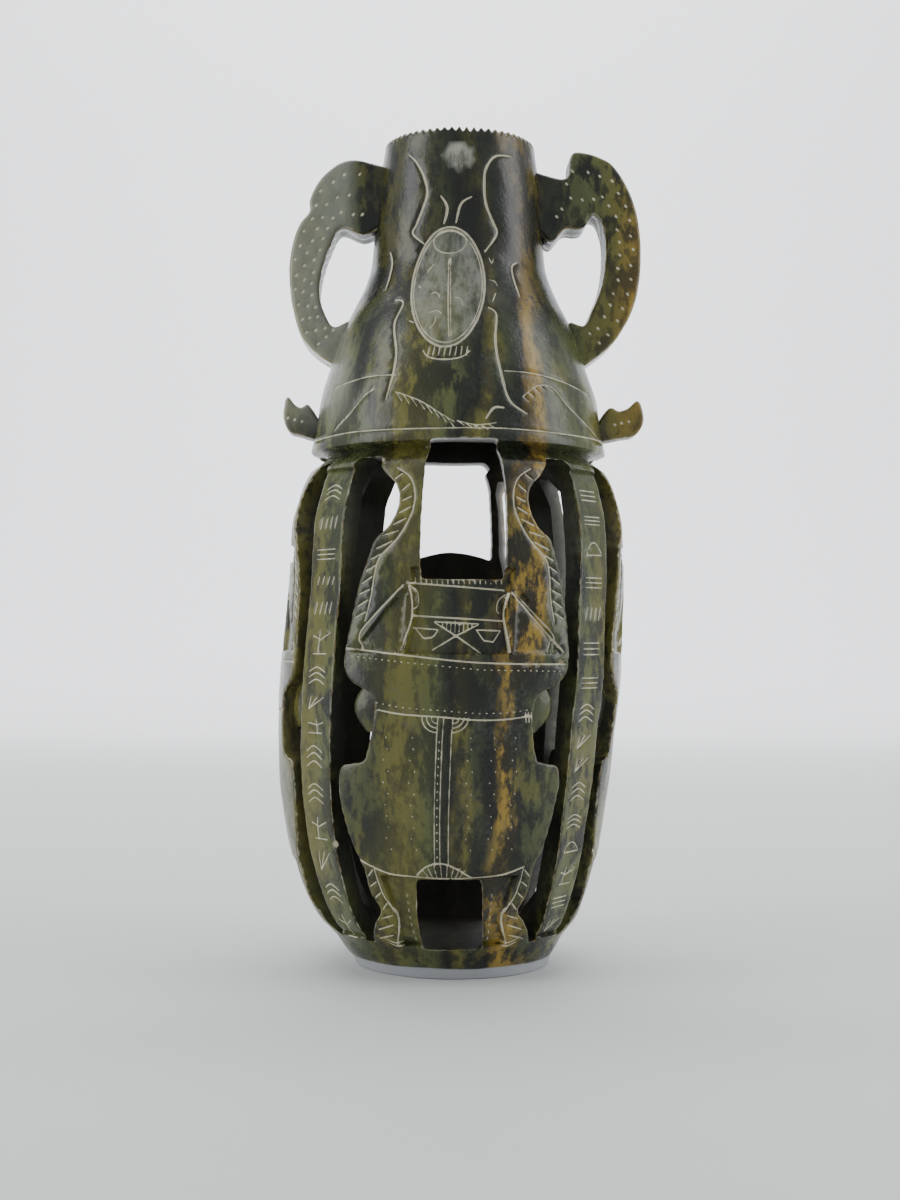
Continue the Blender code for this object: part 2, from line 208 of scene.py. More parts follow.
def chain(start: int, count: int, closed: bool = False) -> Array:
    """Edges between neighbours in a row of numbered points."""
    first = np.arange(start, start + count - (0 if closed else 1))
    return np.column_stack([first, start + (first - start + 1) % count])


def open_edges(triangles: Array, count: int) -> Array:
    """Directed edges that belong to one triangle only.

    Args:
        triangles: triples of point numbers.
        count: how many there are.

    Returns:
        Pairs of point numbers.
    """
    pairs = np.vstack([triangles[:, [0, 1]], triangles[:, [1, 2]], triangles[:, [2, 0]]])
    key = pairs[:, 0] * count + pairs[:, 1]
    return pairs[~np.isin(key, pairs[:, 1] * count + pairs[:, 0])]


@dataclass
class MeshParts:
    """Points, triangles and point values of one piece, gathered from its parts."""

    points: list[Array] = field(default_factory=list)
    triangles: list[Array] = field(default_factory=list)
    marks: dict[str, list[Array]] = field(default_factory=dict)
    count: int = 0

    def add(self, points: Array, triangles: Array, **marks: Array) -> Array:
        """Add a part.

        Args:
            points: places in millimetres.
            triangles: triples of numbers in points.
            marks: one value per point for each named mark; what isn't named is 0.

        Returns:
            The numbers of the points in the whole piece.
        """
        start = self.count
        self.points.append(points)
        if len(triangles):
            self.triangles.append(np.asarray(triangles) + start)
        for name in MARKS:
            self.marks.setdefault(name, []).append(
                np.broadcast_to(marks.get(name, 0.0), len(points)).astype(float))
        self.count += len(points)
        return np.arange(start, self.count)

    def join(self, edges: Array, near: Array, far: Array) -> None:
        """Add a band of triangles between two rows, along directed edges of the near row.

        Args:
            edges: directed edges of the near row.
            near: numbers of the near row's points.
            far: numbers of the far row's points.
        """
        a, b = edges[:, 0], edges[:, 1]
        self.triangles.append(np.column_stack([near[b], near[a], far[a]]))
        self.triangles.append(np.column_stack([near[b], far[a], far[b]]))

    def build(self, name: str) -> bpy.types.Object:
        """Turn everything into one object with its values as point attributes.

        Args:
            name: its name.

        Returns:
            The object.
        """
        points = np.vstack(self.points) * MM
        triangles = np.vstack(self.triangles)
        mesh = bpy.data.meshes.new(name)
        mesh.vertices.add(len(points))
        mesh.vertices.foreach_set("co", points.ravel())
        mesh.loops.add(triangles.size)
        mesh.loops.foreach_set("vertex_index", triangles.ravel())
        mesh.polygons.add(len(triangles))
        mesh.polygons.foreach_set("loop_start", np.arange(len(triangles)) * 3)
        mesh.update(calc_edges=True)
        for mark, values in self.marks.items():
            layer = mesh.attributes.new(mark, 'FLOAT', 'POINT')
            layer.data.foreach_set("value", np.concatenate(values))
        mesh.validate()
        mesh.shade_smooth()
        mesh.set_sharp_from_angle(angle=math.radians(52))
        item = bpy.data.objects.new(name, mesh)
        bpy.context.scene.collection.objects.link(item)
        return item


# hollow: how far a point lies inside the vase or deep in a slot; the finish paints shade from it.
MARKS = ("cut", "edge", "pale", "hollow")


@dataclass
class TurnedForm:
    """The turned shape: radius and wander of the axis by height, in millimetres."""

    height: float = 240.0
    body: float = 148.0
    wall: float = 7.0
    floor: float = 8.0
    neck_wall: float = 5.0
    shoulder_inside: float = 33.1
    axis: float = -2.105
    base_band: Line = ((0.0, 27.9), (0.4, 28.5), (2.6, 29.0), (3.1, 29.7))
    body_knots: Line = (
        (8.44, 33.2), (14.36, 38.2), (23.24, 42.1), (37.74, 46.05), (61.27, 49.0), (84.36, 50.0),
        (105.08, 49.45), (125.8, 48.75), (134.68, 46.8), (142.38, 43.6),
    )
    lip: Line = ((144.7, 40.6), (146.5, 38.6), (147.75, 42.7), (148.2, 43.25), (149.6, 43.1))
    neck_insets: Line = (
        (0.060, -0.2), (0.170, -1.2), (0.270, -0.5), (0.360, 0.2), (0.430, 1.5), (0.480, 2.9),
        (0.540, 4.1), (0.605, 4.6), (0.680, 3.7), (0.780, 2.3), (0.870, 1.0), (0.960, 0.3),
    )
    lip_radius: float = 43.2
    rim_radius: float = 22.0
    lean_knots: Line = (
        (0.0, 0.0), (8.4, -1.0), (21.6, -2.2), (45.6, -2.7), (64.8, -2.2), (81.6, -1.1),
        (96.0, -0.3), (115.2, 0.6), (148.8, 0.9), (199.2, 0.6), (240.0, 0.9),
    )

    def __post_init__(self) -> None:
        """Work out the tables of radius and of plane distance by height."""
        rise = self.height - self.body
        neck = [
            (self.body + share * rise,
             self.lip_radius + share * (self.rim_radius - self.lip_radius) - inset)
            for share, inset in self.neck_insets
        ]
        knots = [*self.base_band, *self.body_knots, *self.lip, *neck, (self.height, self.rim_radius)]
        self.heights = np.linspace(0.0, self.height, 9601)
        self.radii = eased(self.heights, *zip(*knots))
        inner = [(self.floor, 26.4), (23.24, 35.1), (61.27, 42.0), (105.08, 42.4), (134.68, 39.8)]
        inner.append((146.5, self.shoulder_inside))
        for (height, radius), (share, _) in list(zip(neck, self.neck_insets))[1::2]:
            thick = self.wall + share * (self.neck_wall - self.wall)
            inner.append((height, radius - thick))
        inner.append((self.height, self.rim_radius - self.neck_wall))
        self.inner_radii = eased(self.heights, *zip(*inner))
        length = np.hypot(np.diff(self.heights), np.diff(self.radii))
        middle = 0.5 * (self.radii[1:] + self.radii[:-1])
        self.arc = np.concatenate([[0.0], np.cumsum(length)])
        self.spread = np.concatenate([[0.0], np.cumsum(length / middle)])

    def outside(self, height: Array) -> Array:
        """Outer radius at a height."""
        return np.interp(height, self.heights, self.radii)

    def hollow(self, height: Array) -> Array:
        """Inner radius at a height."""
        return np.interp(height, self.heights, self.inner_radii)

    def to_plane(self, polar: Array) -> Array:
        """Lay (angle, height) out in the plane: radius exp(arc in radii), same angle.

        Args:
            polar: angle in degrees and height in millimetres of each point.

        Returns:
            Plane points.
        """
        radius = np.exp(np.interp(polar[:, 1], self.heights, self.spread))
        angle = np.radians(polar[:, 0])
        return np.column_stack([radius * np.cos(angle), radius * np.sin(angle)])

    def from_plane(self, plane: Array) -> Array:
        """Read (angle, height) back from the plane.

        Args:
            plane: plane points.

        Returns:
            Angle and height of each point.
        """
        spread = np.log(np.hypot(plane[:, 0], plane[:, 1]))
        angle = np.degrees(np.arctan2(plane[:, 1], plane[:, 0]))
        return np.column_stack([angle, np.interp(spread, self.spread, self.heights)])

    def place(self, polar: Array, radius: Array | None = None) -> Array:
        """Put (angle, height) points in space, at the outside or at a given radius.

        Args:
            polar: angle in degrees and height in millimetres of each point.
            radius: radius of each point, or None for the outside.

        Returns:
            Places in millimetres.
        """
        far = self.outside(polar[:, 1]) if radius is None else radius
        angle = np.radians(polar[:, 0])
        lean = eased(polar[:, 1], *zip(*self.lean_knots)) + self.axis
        return np.column_stack([far * np.sin(angle) + lean, -far * np.cos(angle), polar[:, 1]])

    def lengths(self, line: Array) -> Array:
        """Length over the surface of each stretch of an (angle, height) line.

        Args:
            line: angle and height along the line.

        Returns:
            One length for each stretch, in millimetres.
        """
        middle = self.outside(0.5 * (line[1:, 1] + line[:-1, 1]))
        climb = np.diff(np.interp(line[:, 1], self.heights, self.arc))
        return np.hypot(middle * np.radians(np.diff(line[:, 0])), climb)

    def spaced(self, line: Line, gap: float) -> Array:
        """Even points along an (angle, height) line."""
        points = np.asarray(line, float)
        return evenly(points, self.lengths(points), gap)

    def about(self, spot: Array, reach: float) -> Array:
        """Ring of six points round an (angle, height) point, a reach away over the surface.

        Args:
            spot: angle and height of the middle.
            reach: distance from the middle, in millimetres.

        Returns:
            Six points as angle and height.
        """
        turn = np.arange(6) * math.pi / 3 + 0.3
        scale = self.outside(spot[1]) * math.pi / 180
        return spot + reach * np.column_stack([np.cos(turn) / scale, np.sin(turn)])

    def aside(self, line: Array, offset: Array) -> Array:
        """Shift each point of an (angle, height) line sideways over the surface.

        Args:
            line: angle and height along the line.
            offset: shift of each point, in millimetres.

        Returns:
            The shifted line.
        """
        slope = np.gradient(line, axis=0)
        scale = self.outside(line[:, 1]) * math.pi / 180
        across, along = slope[:, 0] * scale, slope[:, 1]
        size = np.maximum(np.hypot(across, along), 1e-9)
        return line + np.column_stack([-along / size * offset / scale, across / size * offset])


@dataclass(frozen=True)
class Stroke:
    """One engraved line in (angle, height), with its half width and depth in millimetres."""

    line: Array
    half: float = 0.34
    depth: float = 0.30
    taper: bool = True

    def widths(self, count: int) -> Array:
        """Half width at even places along the stroke, thin at the ends: a root of a sine.

        Args:
            count: how many there are.

        Returns:
            Half widths in millimetres.
        """
        if not self.taper:
            return np.full(count, self.half)
        wave = np.sin(np.linspace(0.0, math.pi, count))
        return self.half * (0.42 + 0.58 * np.sqrt(np.clip(wave, 0.0, 1.0)))


@dataclass(frozen=True)
class Panel:
    """One scarab panel: angles in degrees, window ends as shares of the body height."""

    centre: float
    half: float
    rib_edge: float
    leg_least: float
    window: float
    window_foot: float
    window_head: float
    head_rise: float


PANELS = (
    Panel(FRONT, 38.5, 43.3, 0.0, 13.67, 0.744, 1.003, 0.0),
    Panel(95.4, 32.9, 35.7, 0.0, 11.68, 0.797, 1.003, 1.6),
    Panel(BACK, 27.7, 32.5, 21.0, 15.1, 0.806, 1.014, 2.7),
    Panel(-95.4, 32.9, 35.7, 0.0, 11.68, 0.797, 1.003, 1.6),
)
RIBS = (51.5, 139.3, -139.3, -51.5)


@dataclass
class Openings:
    """Outlines of the slots and windows, from the same shares as the solid."""

    form: TurnedForm
    lower: float = 0.31
    corner: float = 1.8
    scarab: Line = (
        (0.973, 0.860), (0.941, 0.730), (0.916, 0.595), (0.885, 0.555), (0.856, 0.590),
        (0.834, 0.660), (0.817, 0.755), (0.777, 0.820), (0.730, 0.890), (0.660, 0.945),
        (0.608, 0.975), (0.580, 0.965), (0.560, 0.900), (0.546, 0.780), (0.533, 0.680),
        (0.505, 0.655), (0.460, 0.680), (0.414, 0.733),
    )
    wing_cases: Line = (
        (0.404, 0.960), (0.370, 0.995), (0.311, 0.955), (0.260, 0.890), (0.215, 0.800),
        (0.170, 0.775), (0.138, 0.695), (0.116, 0.790), (0.090, 0.900), (0.068, 0.985),
    )

    def slot(self, panel: Panel, side: int) -> Array:
        """Outline between the scarab and the rib beside it.

        Args:
            panel: the scarab panel.
            side: -1 for the left, 1 for the right.

        Returns:
            The outline as angle and height.
        """
        edge = np.vstack([smooth_line(self.scarab, 6), smooth_line(self.wing_cases, 6)])
        reach = edge[:, 1] * panel.half
        reach = np.where(edge[:, 0] > 0.65, np.maximum(reach, panel.leg_least), reach)
        scarab = np.column_stack([reach, edge[:, 0] * self.form.body])
        rib = np.array([[panel.rib_edge, scarab[-1, 1]], [panel.rib_edge, scarab[0, 1]]])
        loop = np.vstack([scarab, rib])
        return np.column_stack([panel.centre + side * loop[:, 0], loop[:, 1]])

    def pane(self, panel: Panel, rows: Line, rise: float = 0.0) -> Array:
        """Outline of a window, even about the middle of a panel, over a head that rises.

        Args:
            panel: the scarab panel.
            rows: rows from the top down, as height share and half angle.
            rise: how far the head rises at the middle, in millimetres.

        Returns:
            The outline as angle and height.
        """
        half = np.array([angle for _, angle in rows])
        high = np.array([share * self.form.body for share, _ in rows])
        left = np.column_stack([panel.centre - half, high])
        right = np.column_stack([panel.centre + half, high])
        across = np.linspace(-1.0, 1.0, 13)[1:-1]
        dome = high[-1] + rise * np.cos(0.5 * math.pi * across)
        low = np.column_stack([panel.centre + across * half[-1], dome])
        return np.vstack([left, low, right[::-1]])

    def upper_rows(self, panel: Panel) -> Line:
        """Rows of an upper window from the top down, as height share and half angle.

        Args:
            panel: the scarab panel.

        Returns:
            Four rows.
        """
        corner = self.corner / self.form.body
        foot, head, half = panel.window_foot, panel.window_head, panel.window
        return (head, half * 0.85), (head - corner, half), (foot + 0.004, half), (foot, half * 0.97)

    def outlines(self) -> list[tuple[float, Array, float]]:
        """Middle angle, rounded closed outline and, for a window, the angle it looks along.

        Returns:
            One entry for each slot and window.
        """
        made = []
        for panel in PANELS:
            for side in (-1, 1):
                loop = self.slot(panel, side)
                made.append((loop[:, 0].mean(), self.worn(loop), math.nan))
            panes = [self.pane(panel, self.upper_rows(panel), panel.head_rise)]
            if panel.centre != BACK:
                half = self.lower * panel.half
                panes.append(self.pane(panel, ((0.200, half), (0.062, half * 1.2))))
            made += [(panel.centre, self.worn(loop), panel.centre) for loop in panes]
        return made

    def worn(self, loop: Array) -> Array:
        """Space an outline evenly and round its corners a little.

        Args:
            loop: the closed outline.

        Returns:
            The rounded outline.
        """
        closed = np.vstack([loop, loop[:1]])
        even = self.form.spaced(closed, 1.0)[:-1]
        soft = 0.5 * even + 0.25 * (np.roll(even, 1, 0) + np.roll(even, -1, 0))
        wave = np.sin(soft[:, 1] * 1.9 + soft[:, 0] * 0.31) + np.sin(soft[:, 1] * 0.83 + 1.0)
        return soft + np.column_stack([wave * 0.05, np.roll(wave, 7) * 0.04])


@dataclass(frozen=True)
class Recess:
    """A shallow recess given by rows of height and two angles, with its depth and softness."""

    rows: tuple[tuple[float, float, float], ...]
    depth: float
    soft: float = 0.4

    def sunk(self, form: TurnedForm, polar: Array) -> Array:
        """Depth at points: the depth times a soft step of the distance to the outline.

        Args:
            form: the turned form.
            polar: angle in degrees and height in millimetres of each point.

        Returns:
            Depth of each point, in millimetres.
        """
        table = np.array(sorted(self.rows))
        middle = 0.5 * (table[0, 1] + table[0, 2])
        angle = turned(polar[:, 0], middle) + middle
        left = np.interp(polar[:, 1], table[:, 0], table[:, 1])
        right = np.interp(polar[:, 1], table[:, 0], table[:, 2])
        scale = form.outside(polar[:, 1]) * math.pi / 180
        gap = np.minimum((angle - left) * scale, (right - angle) * scale)
        gap = np.minimum(gap, polar[:, 1] - table[0, 0])
        gap = np.minimum(gap, table[-1, 0] - polar[:, 1])
        return self.depth * smoothstep(gap / self.soft + 0.5)

    def crease(self, form: TurnedForm) -> list[Array]:
        """Lines of points on both sides of the step.

        Args:
            form: the turned form.

        Returns:
            Lines of points.
        """
        table = np.array(sorted(self.rows))
        made = []
        for offset in (-0.5 * self.soft, 0.5 * self.soft):
            shift = offset / (form.outside(table[:, 0]) * math.pi / 180)
            left = np.column_stack([table[:, 1] + shift, table[:, 0]])
            right = np.column_stack([table[:, 2] - shift, table[:, 0]])
            low = np.array([left[0], right[0]]) + [0.0, offset]
            high = np.array([left[-1], right[-1]]) - [0.0, offset]
            made += [form.spaced(line, 0.9) for line in (left, right, low, high)]
        return made


@dataclass
class Relief:
    """Recesses of the heads, wings and feet, the brows, and the flat faces of the ribs."""

    form: TurnedForm
    head: Line = ((0.764, 0.425), (0.700, 0.375), (0.670, 0.375), (0.610, 0.430))
    wing: Line = ((0.722, 0.500), (0.612, 0.900))
    foot: Line = ((0.205, 0.640), (0.150, 0.560), (0.105, 0.540), (0.070, 0.600))
    wing_inner: float = 0.450
    head_sink: float = 2.0
    wing_sink: float = 1.1
    foot_sink: float = 1.6
    brow_sinks: tuple[float, float] = (4.2, 1.4)
    rib_sink: float = 1.0
    rib_half: float = 9.2
    rib_ends: tuple[float, float] = (11.1, 141.3)

    def recesses(self) -> list[Recess]:
        """Every recess of the four panels.

        Returns:
            The recesses.
        """
        made = []
        body = self.form.body
        for panel in PANELS:
            top = (panel.window_foot + 3.0 / body, self.head[0][1])
            for shape, sink, soft in (((top, *self.head[1:]), self.head_sink, 0.5),
                                      (self.foot, self.foot_sink, 0.6)):
                rows = tuple((high * body, panel.centre - share * panel.half,
                              panel.centre + share * panel.half) for high, share in shape)
                made.append(Recess(rows, sink, soft))
            for side in (-1, 1):
                rows = tuple(
                    (high * body, *sorted((panel.centre + side * self.wing_inner * panel.half,
                                           panel.centre + side * share * panel.half)))
                    for high, share in self.wing)
                made.append(Recess(rows, self.wing_sink, 0.9))
        for panel, sink in zip((PANELS[1], PANELS[3]), self.brow_sinks):
            rows = tuple((share * body, panel.centre - 0.62 * panel.half,
                          panel.centre + 0.62 * panel.half) for share in (0.785, 0.816))
            made.append(Recess(rows, sink, 0.5))
        return made

    def rib(self, polar: Array) -> Array:
        """Depth of a rib's flat face: the chord across the turned round, sunk a little.

        Args:
            polar: angle in degrees and height in millimetres of each point.

        Returns:
            Depth of each point, in millimetres.
        """
        total = np.zeros(len(polar))
        radius = self.form.outside(polar[:, 1])
        ends = np.minimum(polar[:, 1] - self.rib_ends[0], self.rib_ends[1] - polar[:, 1])
        for centre in RIBS:
            turn = np.abs(turned(polar[:, 0], centre))
            ratio = np.cos(math.radians(self.rib_half)) / np.cos(np.radians(np.minimum(turn, 40)))
            flat = radius - (radius - self.rib_sink) * ratio
            side = smoothstep((self.rib_half - turn) / 0.4 + 0.5)
            total += flat * side * smoothstep(ends / 0.6 + 0.5)
        return total

    def depth(self, polar: Array) -> Array:
        """Depth of all the relief together at (angle, height) points.

        Args:
            polar: angle in degrees and height in millimetres of each point.

        Returns:
            Depth of each point, in millimetres.
        """
        deepest = np.zeros(len(polar))
        for recess in self.recesses():
            deepest = np.maximum(deepest, recess.sunk(self.form, polar))
        return deepest + self.rib(polar)

    def creases(self) -> list[Array]:
        """Lines of points along every step.

        Returns:
            Lines of points.
        """
        made = [line for recess in self.recesses() for line in recess.crease(self.form)]
        for centre in RIBS:
            for end in self.rib_ends:
                for offset in (-0.3, 0.3):
                    row = [(centre - 8.4, end + offset), (centre + 8.4, end + offset)]
                    made.append(self.form.spaced(row, 0.9))
        return made


@dataclass
class NeckCarving:
    """The disc, the winged beetle and the plume lines round the neck."""

    form: TurnedForm
    disc: tuple[float, float, float, float] = (-2.7, 230.9, 10.0, 4.0)
    oval: tuple[float, float, float, float] = (-7.9, 192.2, 20.0, 18.1)
    brow: tuple[float, float, float, float] = (-7.8, 206.0, 10.6, 3.4)
    broad: tuple[Line, ...] = (
        ((-41.3, 232.8), (-34.3, 230.2), (-27.9, 226.1), (-24.1, 220.9), (-26.6, 216.4),
         (-31.1, 211.7), (-33.6, 209.2), (-24.9, 205.8)),
        ((37.3, 232.5), (23.8, 231.6), (16.2, 227.5), (15.0, 222.5), (16.0, 217.3),
         (21.2, 212.0), (23.5, 208.9), (14.6, 203.3)),
        ((-14.5, 219.4), (-9.9, 215.9), (-11.9, 211.2)),
        ((6.3, 219.1), (-0.8, 217.0), (-4.0, 211.4)),
        ((-51.9, 205.0), (-47.8, 200.6), (-46.6, 193.1)),
        ((37.3, 201.3), (31.9, 199.1), (31.8, 190.5)),
        ((-36.2, 189.2), (-30.5, 187.9), (-32.7, 181.7), (-29.4, 173.6), (-28.9, 166.5),
         (-31.0, 159.8)),
        ((12.4, 186.0), (15.8, 184.0), (13.9, 176.5), (14.7, 167.7), (17.5, 159.4), (24.6, 155.8)),
        ((8.0, 153.9), (11.3, 157.0), (15.2, 157.1)),
    )
    fine: tuple[Line, ...] = (
        ((-62.9, 165.1), (-41.4, 166.7), (-27.5, 166.4)),
        ((-57.9, 152.6), (-49.2, 156.5), (-42.5, 160.8), (-36.3, 163.0)),
        ((-26.8, 161.6), (-17.4, 159.0), (-9.5, 155.5), (-3.8, 152.9)),
        ((-2.7, 153.2), (4.2, 152.1), (11.8, 152.8)),
        ((16.3, 167.5), (32.3, 167.2), (63.7, 164.1)),
        ((23.1, 160.5), (30.1, 163.9), (37.7, 163.9), (46.1, 159.1), (60.0, 154.4), (73.2, 150.8)),
        ((17.1, 201.6), (18.4, 199.9), (19.9, 201.4)),
        ((15.6, 194.8), (18.5, 194.4), (19.5, 193.2)),
        ((15.0, 188.0), (17.6, 190.6)),
        ((-17.1, 199.4), (-20.5, 197.0)),
        ((-6.9, 201.1), (-8.3, 198.3)),
        ((-16.0, 190.2), (-13.5, 190.6), (-11.5, 189.0)),
        ((-4.2, 188.9), (-1.2, 188.6), (0.0, 186.6)),
        ((-15.5, 184.4), (-12.5, 184.9), (-10.0, 184.0)),
        ((-15.0, 179.6), (-13.0, 181.2), (-12.6, 183.0)),
        ((-24.5, 193.0), (-22.6, 192.2)),
        ((-25.0, 182.1), (-22.8, 181.6)),
    )
    border: float = 151.2

    def ring(self, shape: tuple[float, float, float, float], share: float = 1.0) -> Array:
        """Closed ellipse from its middle angle, middle height, half angle and half height.

        Args:
            shape: middle angle, middle height, half angle and half height.
            share: share of its full size.

        Returns:
            Points of the ellipse.
        """
        turn = np.linspace(0.0, 2 * math.pi, 49)
        height = shape[1] + share * shape[3] * np.sin(turn)
        even = self.form.outside(shape[1]) / self.form.outside(height)
        return np.column_stack([shape[0] + share * shape[2] * np.cos(turn) * even, height])

    def barbs(self, line: Line, drop: float) -> Iterable[Stroke]:
        """Short slanted barbs under a plume."""
        for angle, height in self.form.spaced(smooth_line(line, 6), 2.3)[:-1]:
            yield Stroke(np.array([(angle, height), (angle + 2.6, height - drop)]), 0.20, 0.16)

    def strokes(self) -> list[Stroke]:
        """All strokes of the front, and a plainer beetle on the back.

        Returns:
            The strokes.
        """
        made = [Stroke(smooth_line(line, 8), 0.52, 0.36) for line in self.broad]
        made += [Stroke(smooth_line(line, 8), 0.24, 0.20) for line in self.fine]
        for line, drop in ((self.fine[2], 2.6), (self.fine[3], 1.3), (self.fine[1], -1.6)):
            made += list(self.barbs(line, drop))
        made += list(self.barbs(self.fine[5][:3], 1.3))
        made += self.beetle(FRONT) + self.beetle(BACK)
        for line in (*self.broad[:4], *self.broad[6:8]):
            made.append(Stroke(smooth_line([(BACK + a, z) for a, z in line], 8), 0.42, 0.34))
        for side in (-1, 1):
            for plume in (((18, 167.4), (34, 167.0), (60, 164.4)),
                          ((24, 160.4), (36, 163.4), (50, 157.6), (68, 151.6))):
                line = smooth_line([(BACK + side * a, z) for a, z in plume], 8)
                made.append(Stroke(line, 0.26, 0.22))
        turn = np.linspace(-180.0, 180.0, 121)
        low = np.column_stack([turn, self.border + 0.12 * np.sin(turn * 0.11)])
        made.append(Stroke(low, 0.26, 0.26, False))
        return made

    def beetle(self, about: float) -> list[Stroke]:
        """Oval body, head, middle line and fringe of the neck's beetle.

        Args:
            about: the angle at which it stands.

        Returns:
            The strokes.
        """
        made = [
            Stroke(self.ring(self.oval), 0.40, 0.34, False),
            Stroke(self.ring(self.oval, 0.93), 0.20, 0.15, False),
            Stroke(self.ring(self.brow), 0.26, 0.24, False),
            Stroke(np.array([(-8.1, 200.7), (-7.3, 189.0), (-6.3, 177.1)]), 0.34, 0.32),
            Stroke(np.array([(-6.8, 200.7), (-6.1, 189.0), (-5.3, 177.4)]), 0.20, 0.20),
            Stroke(smooth_line(((-17.1, 173.1), (-14.5, 171.2), (-8.6, 170.4), (-1.5, 171.0),
                                (2.6, 172.9)), 6), 0.34, 0.30),
        ]
        for angle in np.arange(-14.5, 2.0, 2.3):
            made.append(Stroke(np.array([(angle, 174.2), (angle - 0.5, 171.6)]), 0.24, 0.22))
        return [replace(item, line=item.line + [about, 0.0]) for item in made]

    def pale(self, polar: Array) -> Array:
        """How far the stone is scraped pale: 1 in the disc, about a half in the oval.

        Args:
            polar: angle in degrees and height in millimetres of each point.

        Returns:
            A share for each point.
        """
        total = np.zeros(len(polar))
        for about in (FRONT, BACK):
            for shape, much in ((self.disc, 1.0), (self.oval, 0.55)):
                turn = turned(polar[:, 0] - shape[0], about)
                turn = turn * self.form.outside(polar[:, 1]) / self.form.outside(shape[1])
                out = np.hypot(turn / shape[2], (polar[:, 1] - shape[1]) / shape[3])
                total = np.maximum(total, much * smoothstep((1.03 - out) / 0.08))
        return total


@dataclass
class PanelCarving:
    """Engraved lines of a scarab, measured on the front one and carried to the others."""

    form: TurnedForm
    openings: Openings
    front_half: float = 38.5
    outline: tuple[Line, ...] = (
        ((-17.7, 109.1), (13.7, 107.2)),
        ((-17.0, 108.5), (-15.6, 104.5), (-15.3, 99.2), (-17.7, 92.6)),
        ((15.0, 106.4), (13.9, 101.3), (14.7, 96.6), (16.3, 90.7)),
        ((-15.0, 100.3), (13.9, 99.0)),
        ((-18.7, 108.5), (-27.0, 101.0), (-32.4, 95.6), (-31.6, 91.4)),
        ((15.6, 106.7), (26.0, 98.2), (35.2, 90.8)),
        ((-36.9, 91.5), (-18.0, 89.9), (6.8, 87.9), (36.0, 87.5)),
        ((-27.0, 75.7), (-17.3, 74.2), (-4.2, 73.5), (7.5, 72.7), (16.8, 72.9), (24.9, 73.8)),
        ((-32.6, 34.7), (-28.2, 33.0), (-20.9, 31.1), (-11.9, 30.5), (-1.5, 29.9), (9.0, 30.2),
         (18.8, 31.0), (27.0, 32.8)),
        ((-11.2, 31.1), (-7.9, 33.4), (-3.0, 34.3), (1.7, 33.1), (7.6, 30.3)),
    )
    light: tuple[Line, ...] = (
        ((-16.4, 108.4), (-14.4, 106.4), (-13.9, 103.6), (-14.6, 102.2)),
        ((14.2, 106.0), (12.0, 104.4), (11.6, 102.0), (12.4, 101.0)),
        ((16.6, 106.9), (26.6, 99.0), (31.4, 94.4), (31.6, 90.6)),
        ((30.8, 94.4), (29.4, 90.6)),
    )
    face: tuple[Line, ...] = (
        ((-14.8, 97.1), (-7.2, 96.6)), ((-14.4, 97.0), (-11.4, 94.2), (-8.4, 94.6), (-7.0, 96.5)),
        ((5.3, 96.6), (13.2, 96.4)), ((5.5, 96.4), (7.8, 93.8), (11.0, 93.4), (13.1, 96.2)),
        ((-8.2, 98.7), (5.9, 98.2)), ((-8.2, 98.5), (-1.1, 95.0), (6.9, 90.5)),
        ((5.9, 98.0), (-1.1, 95.0), (-8.4, 91.2)),
    )
    front_leg: Line = (
        (23.9, 140.4), (19.4, 138.3), (16.9, 135.1), (16.2, 130.4), (17.7, 125.9), (21.5, 120.7),
        (27.0, 116.0), (28.6, 111.2), (29.4, 105.0), (31.0, 98.9),
    )
    hind_leg: Line = (
        (27.0, 33.0), (26.0, 28.8), (24.6, 24.8), (22.2, 21.8), (20.9, 19.3), (21.7, 14.7),
        (25.8, 9.9),
    )
    suture: tuple[float, ...] = (-5.0, -3.2, -0.4)

    def hatch(self, inner: Line, first: float, last: float, count: int) -> Iterable[Stroke]:
        """Slanted cuts between a leg's inner line and the edge of the slot beside it.

        Args:
            inner: the leg's inner line.
            first: height of the first cut.
            last: height of the last cut.
            count: how many there are.

        Returns:
            The cuts, one at a time.
        """
        inner = np.array(sorted(inner, key=lambda point: point[1]))
        edge = np.vstack([smooth_line(self.openings.scarab, 6),
                          smooth_line(self.openings.wing_cases, 6)])[::-1]
        rim = edge[:, 1] * self.front_half, edge[:, 0] * self.form.body
        for step, height in enumerate(np.linspace(first, last, count)):
            lift = 1.1 + 0.25 * math.sin(step * 2.4)
            near = np.interp(height + lift, inner[:, 1], inner[:, 0])
            far = np.interp(height - lift, rim[1], rim[0])
            reach = far - near
            if reach > 1.2:
                yield Stroke(np.array([(near + 0.16 * reach, height + lift * 0.7),
                                       (far - 0.24 * reach, height - lift * 0.7)]), 0.30, 0.24)

    def dots(self, line: Line, lift: float) -> Iterable[Stroke]:
        """A row of tiny pecked dots beside a line."""
        for angle, height in self.form.spaced(line, 1.9)[1:-1]:
            yield Stroke(np.array([(angle, height + lift), (angle + 0.35, height + lift)]), 0.19, 0.15)

    def legs(self) -> Iterable[Stroke]:
        """Both front legs and both hind legs of the front scarab, lines and cuts.

        Returns:
            The strokes, one at a time.
        """
        for side in (-1, 1):
            made = [Stroke(smooth_line(self.front_leg, 6), 0.34, 0.28)]
            made.append(Stroke(smooth_line(self.hind_leg, 6), 0.32, 0.28))
            made += list(self.hatch(self.front_leg, 100.5, 138.0, 13))
            made += list(self.hatch(self.hind_leg, 12.5, 31.0, 7))
            for item in made:
                yield replace(item, line=item.line * [side, 1.0])

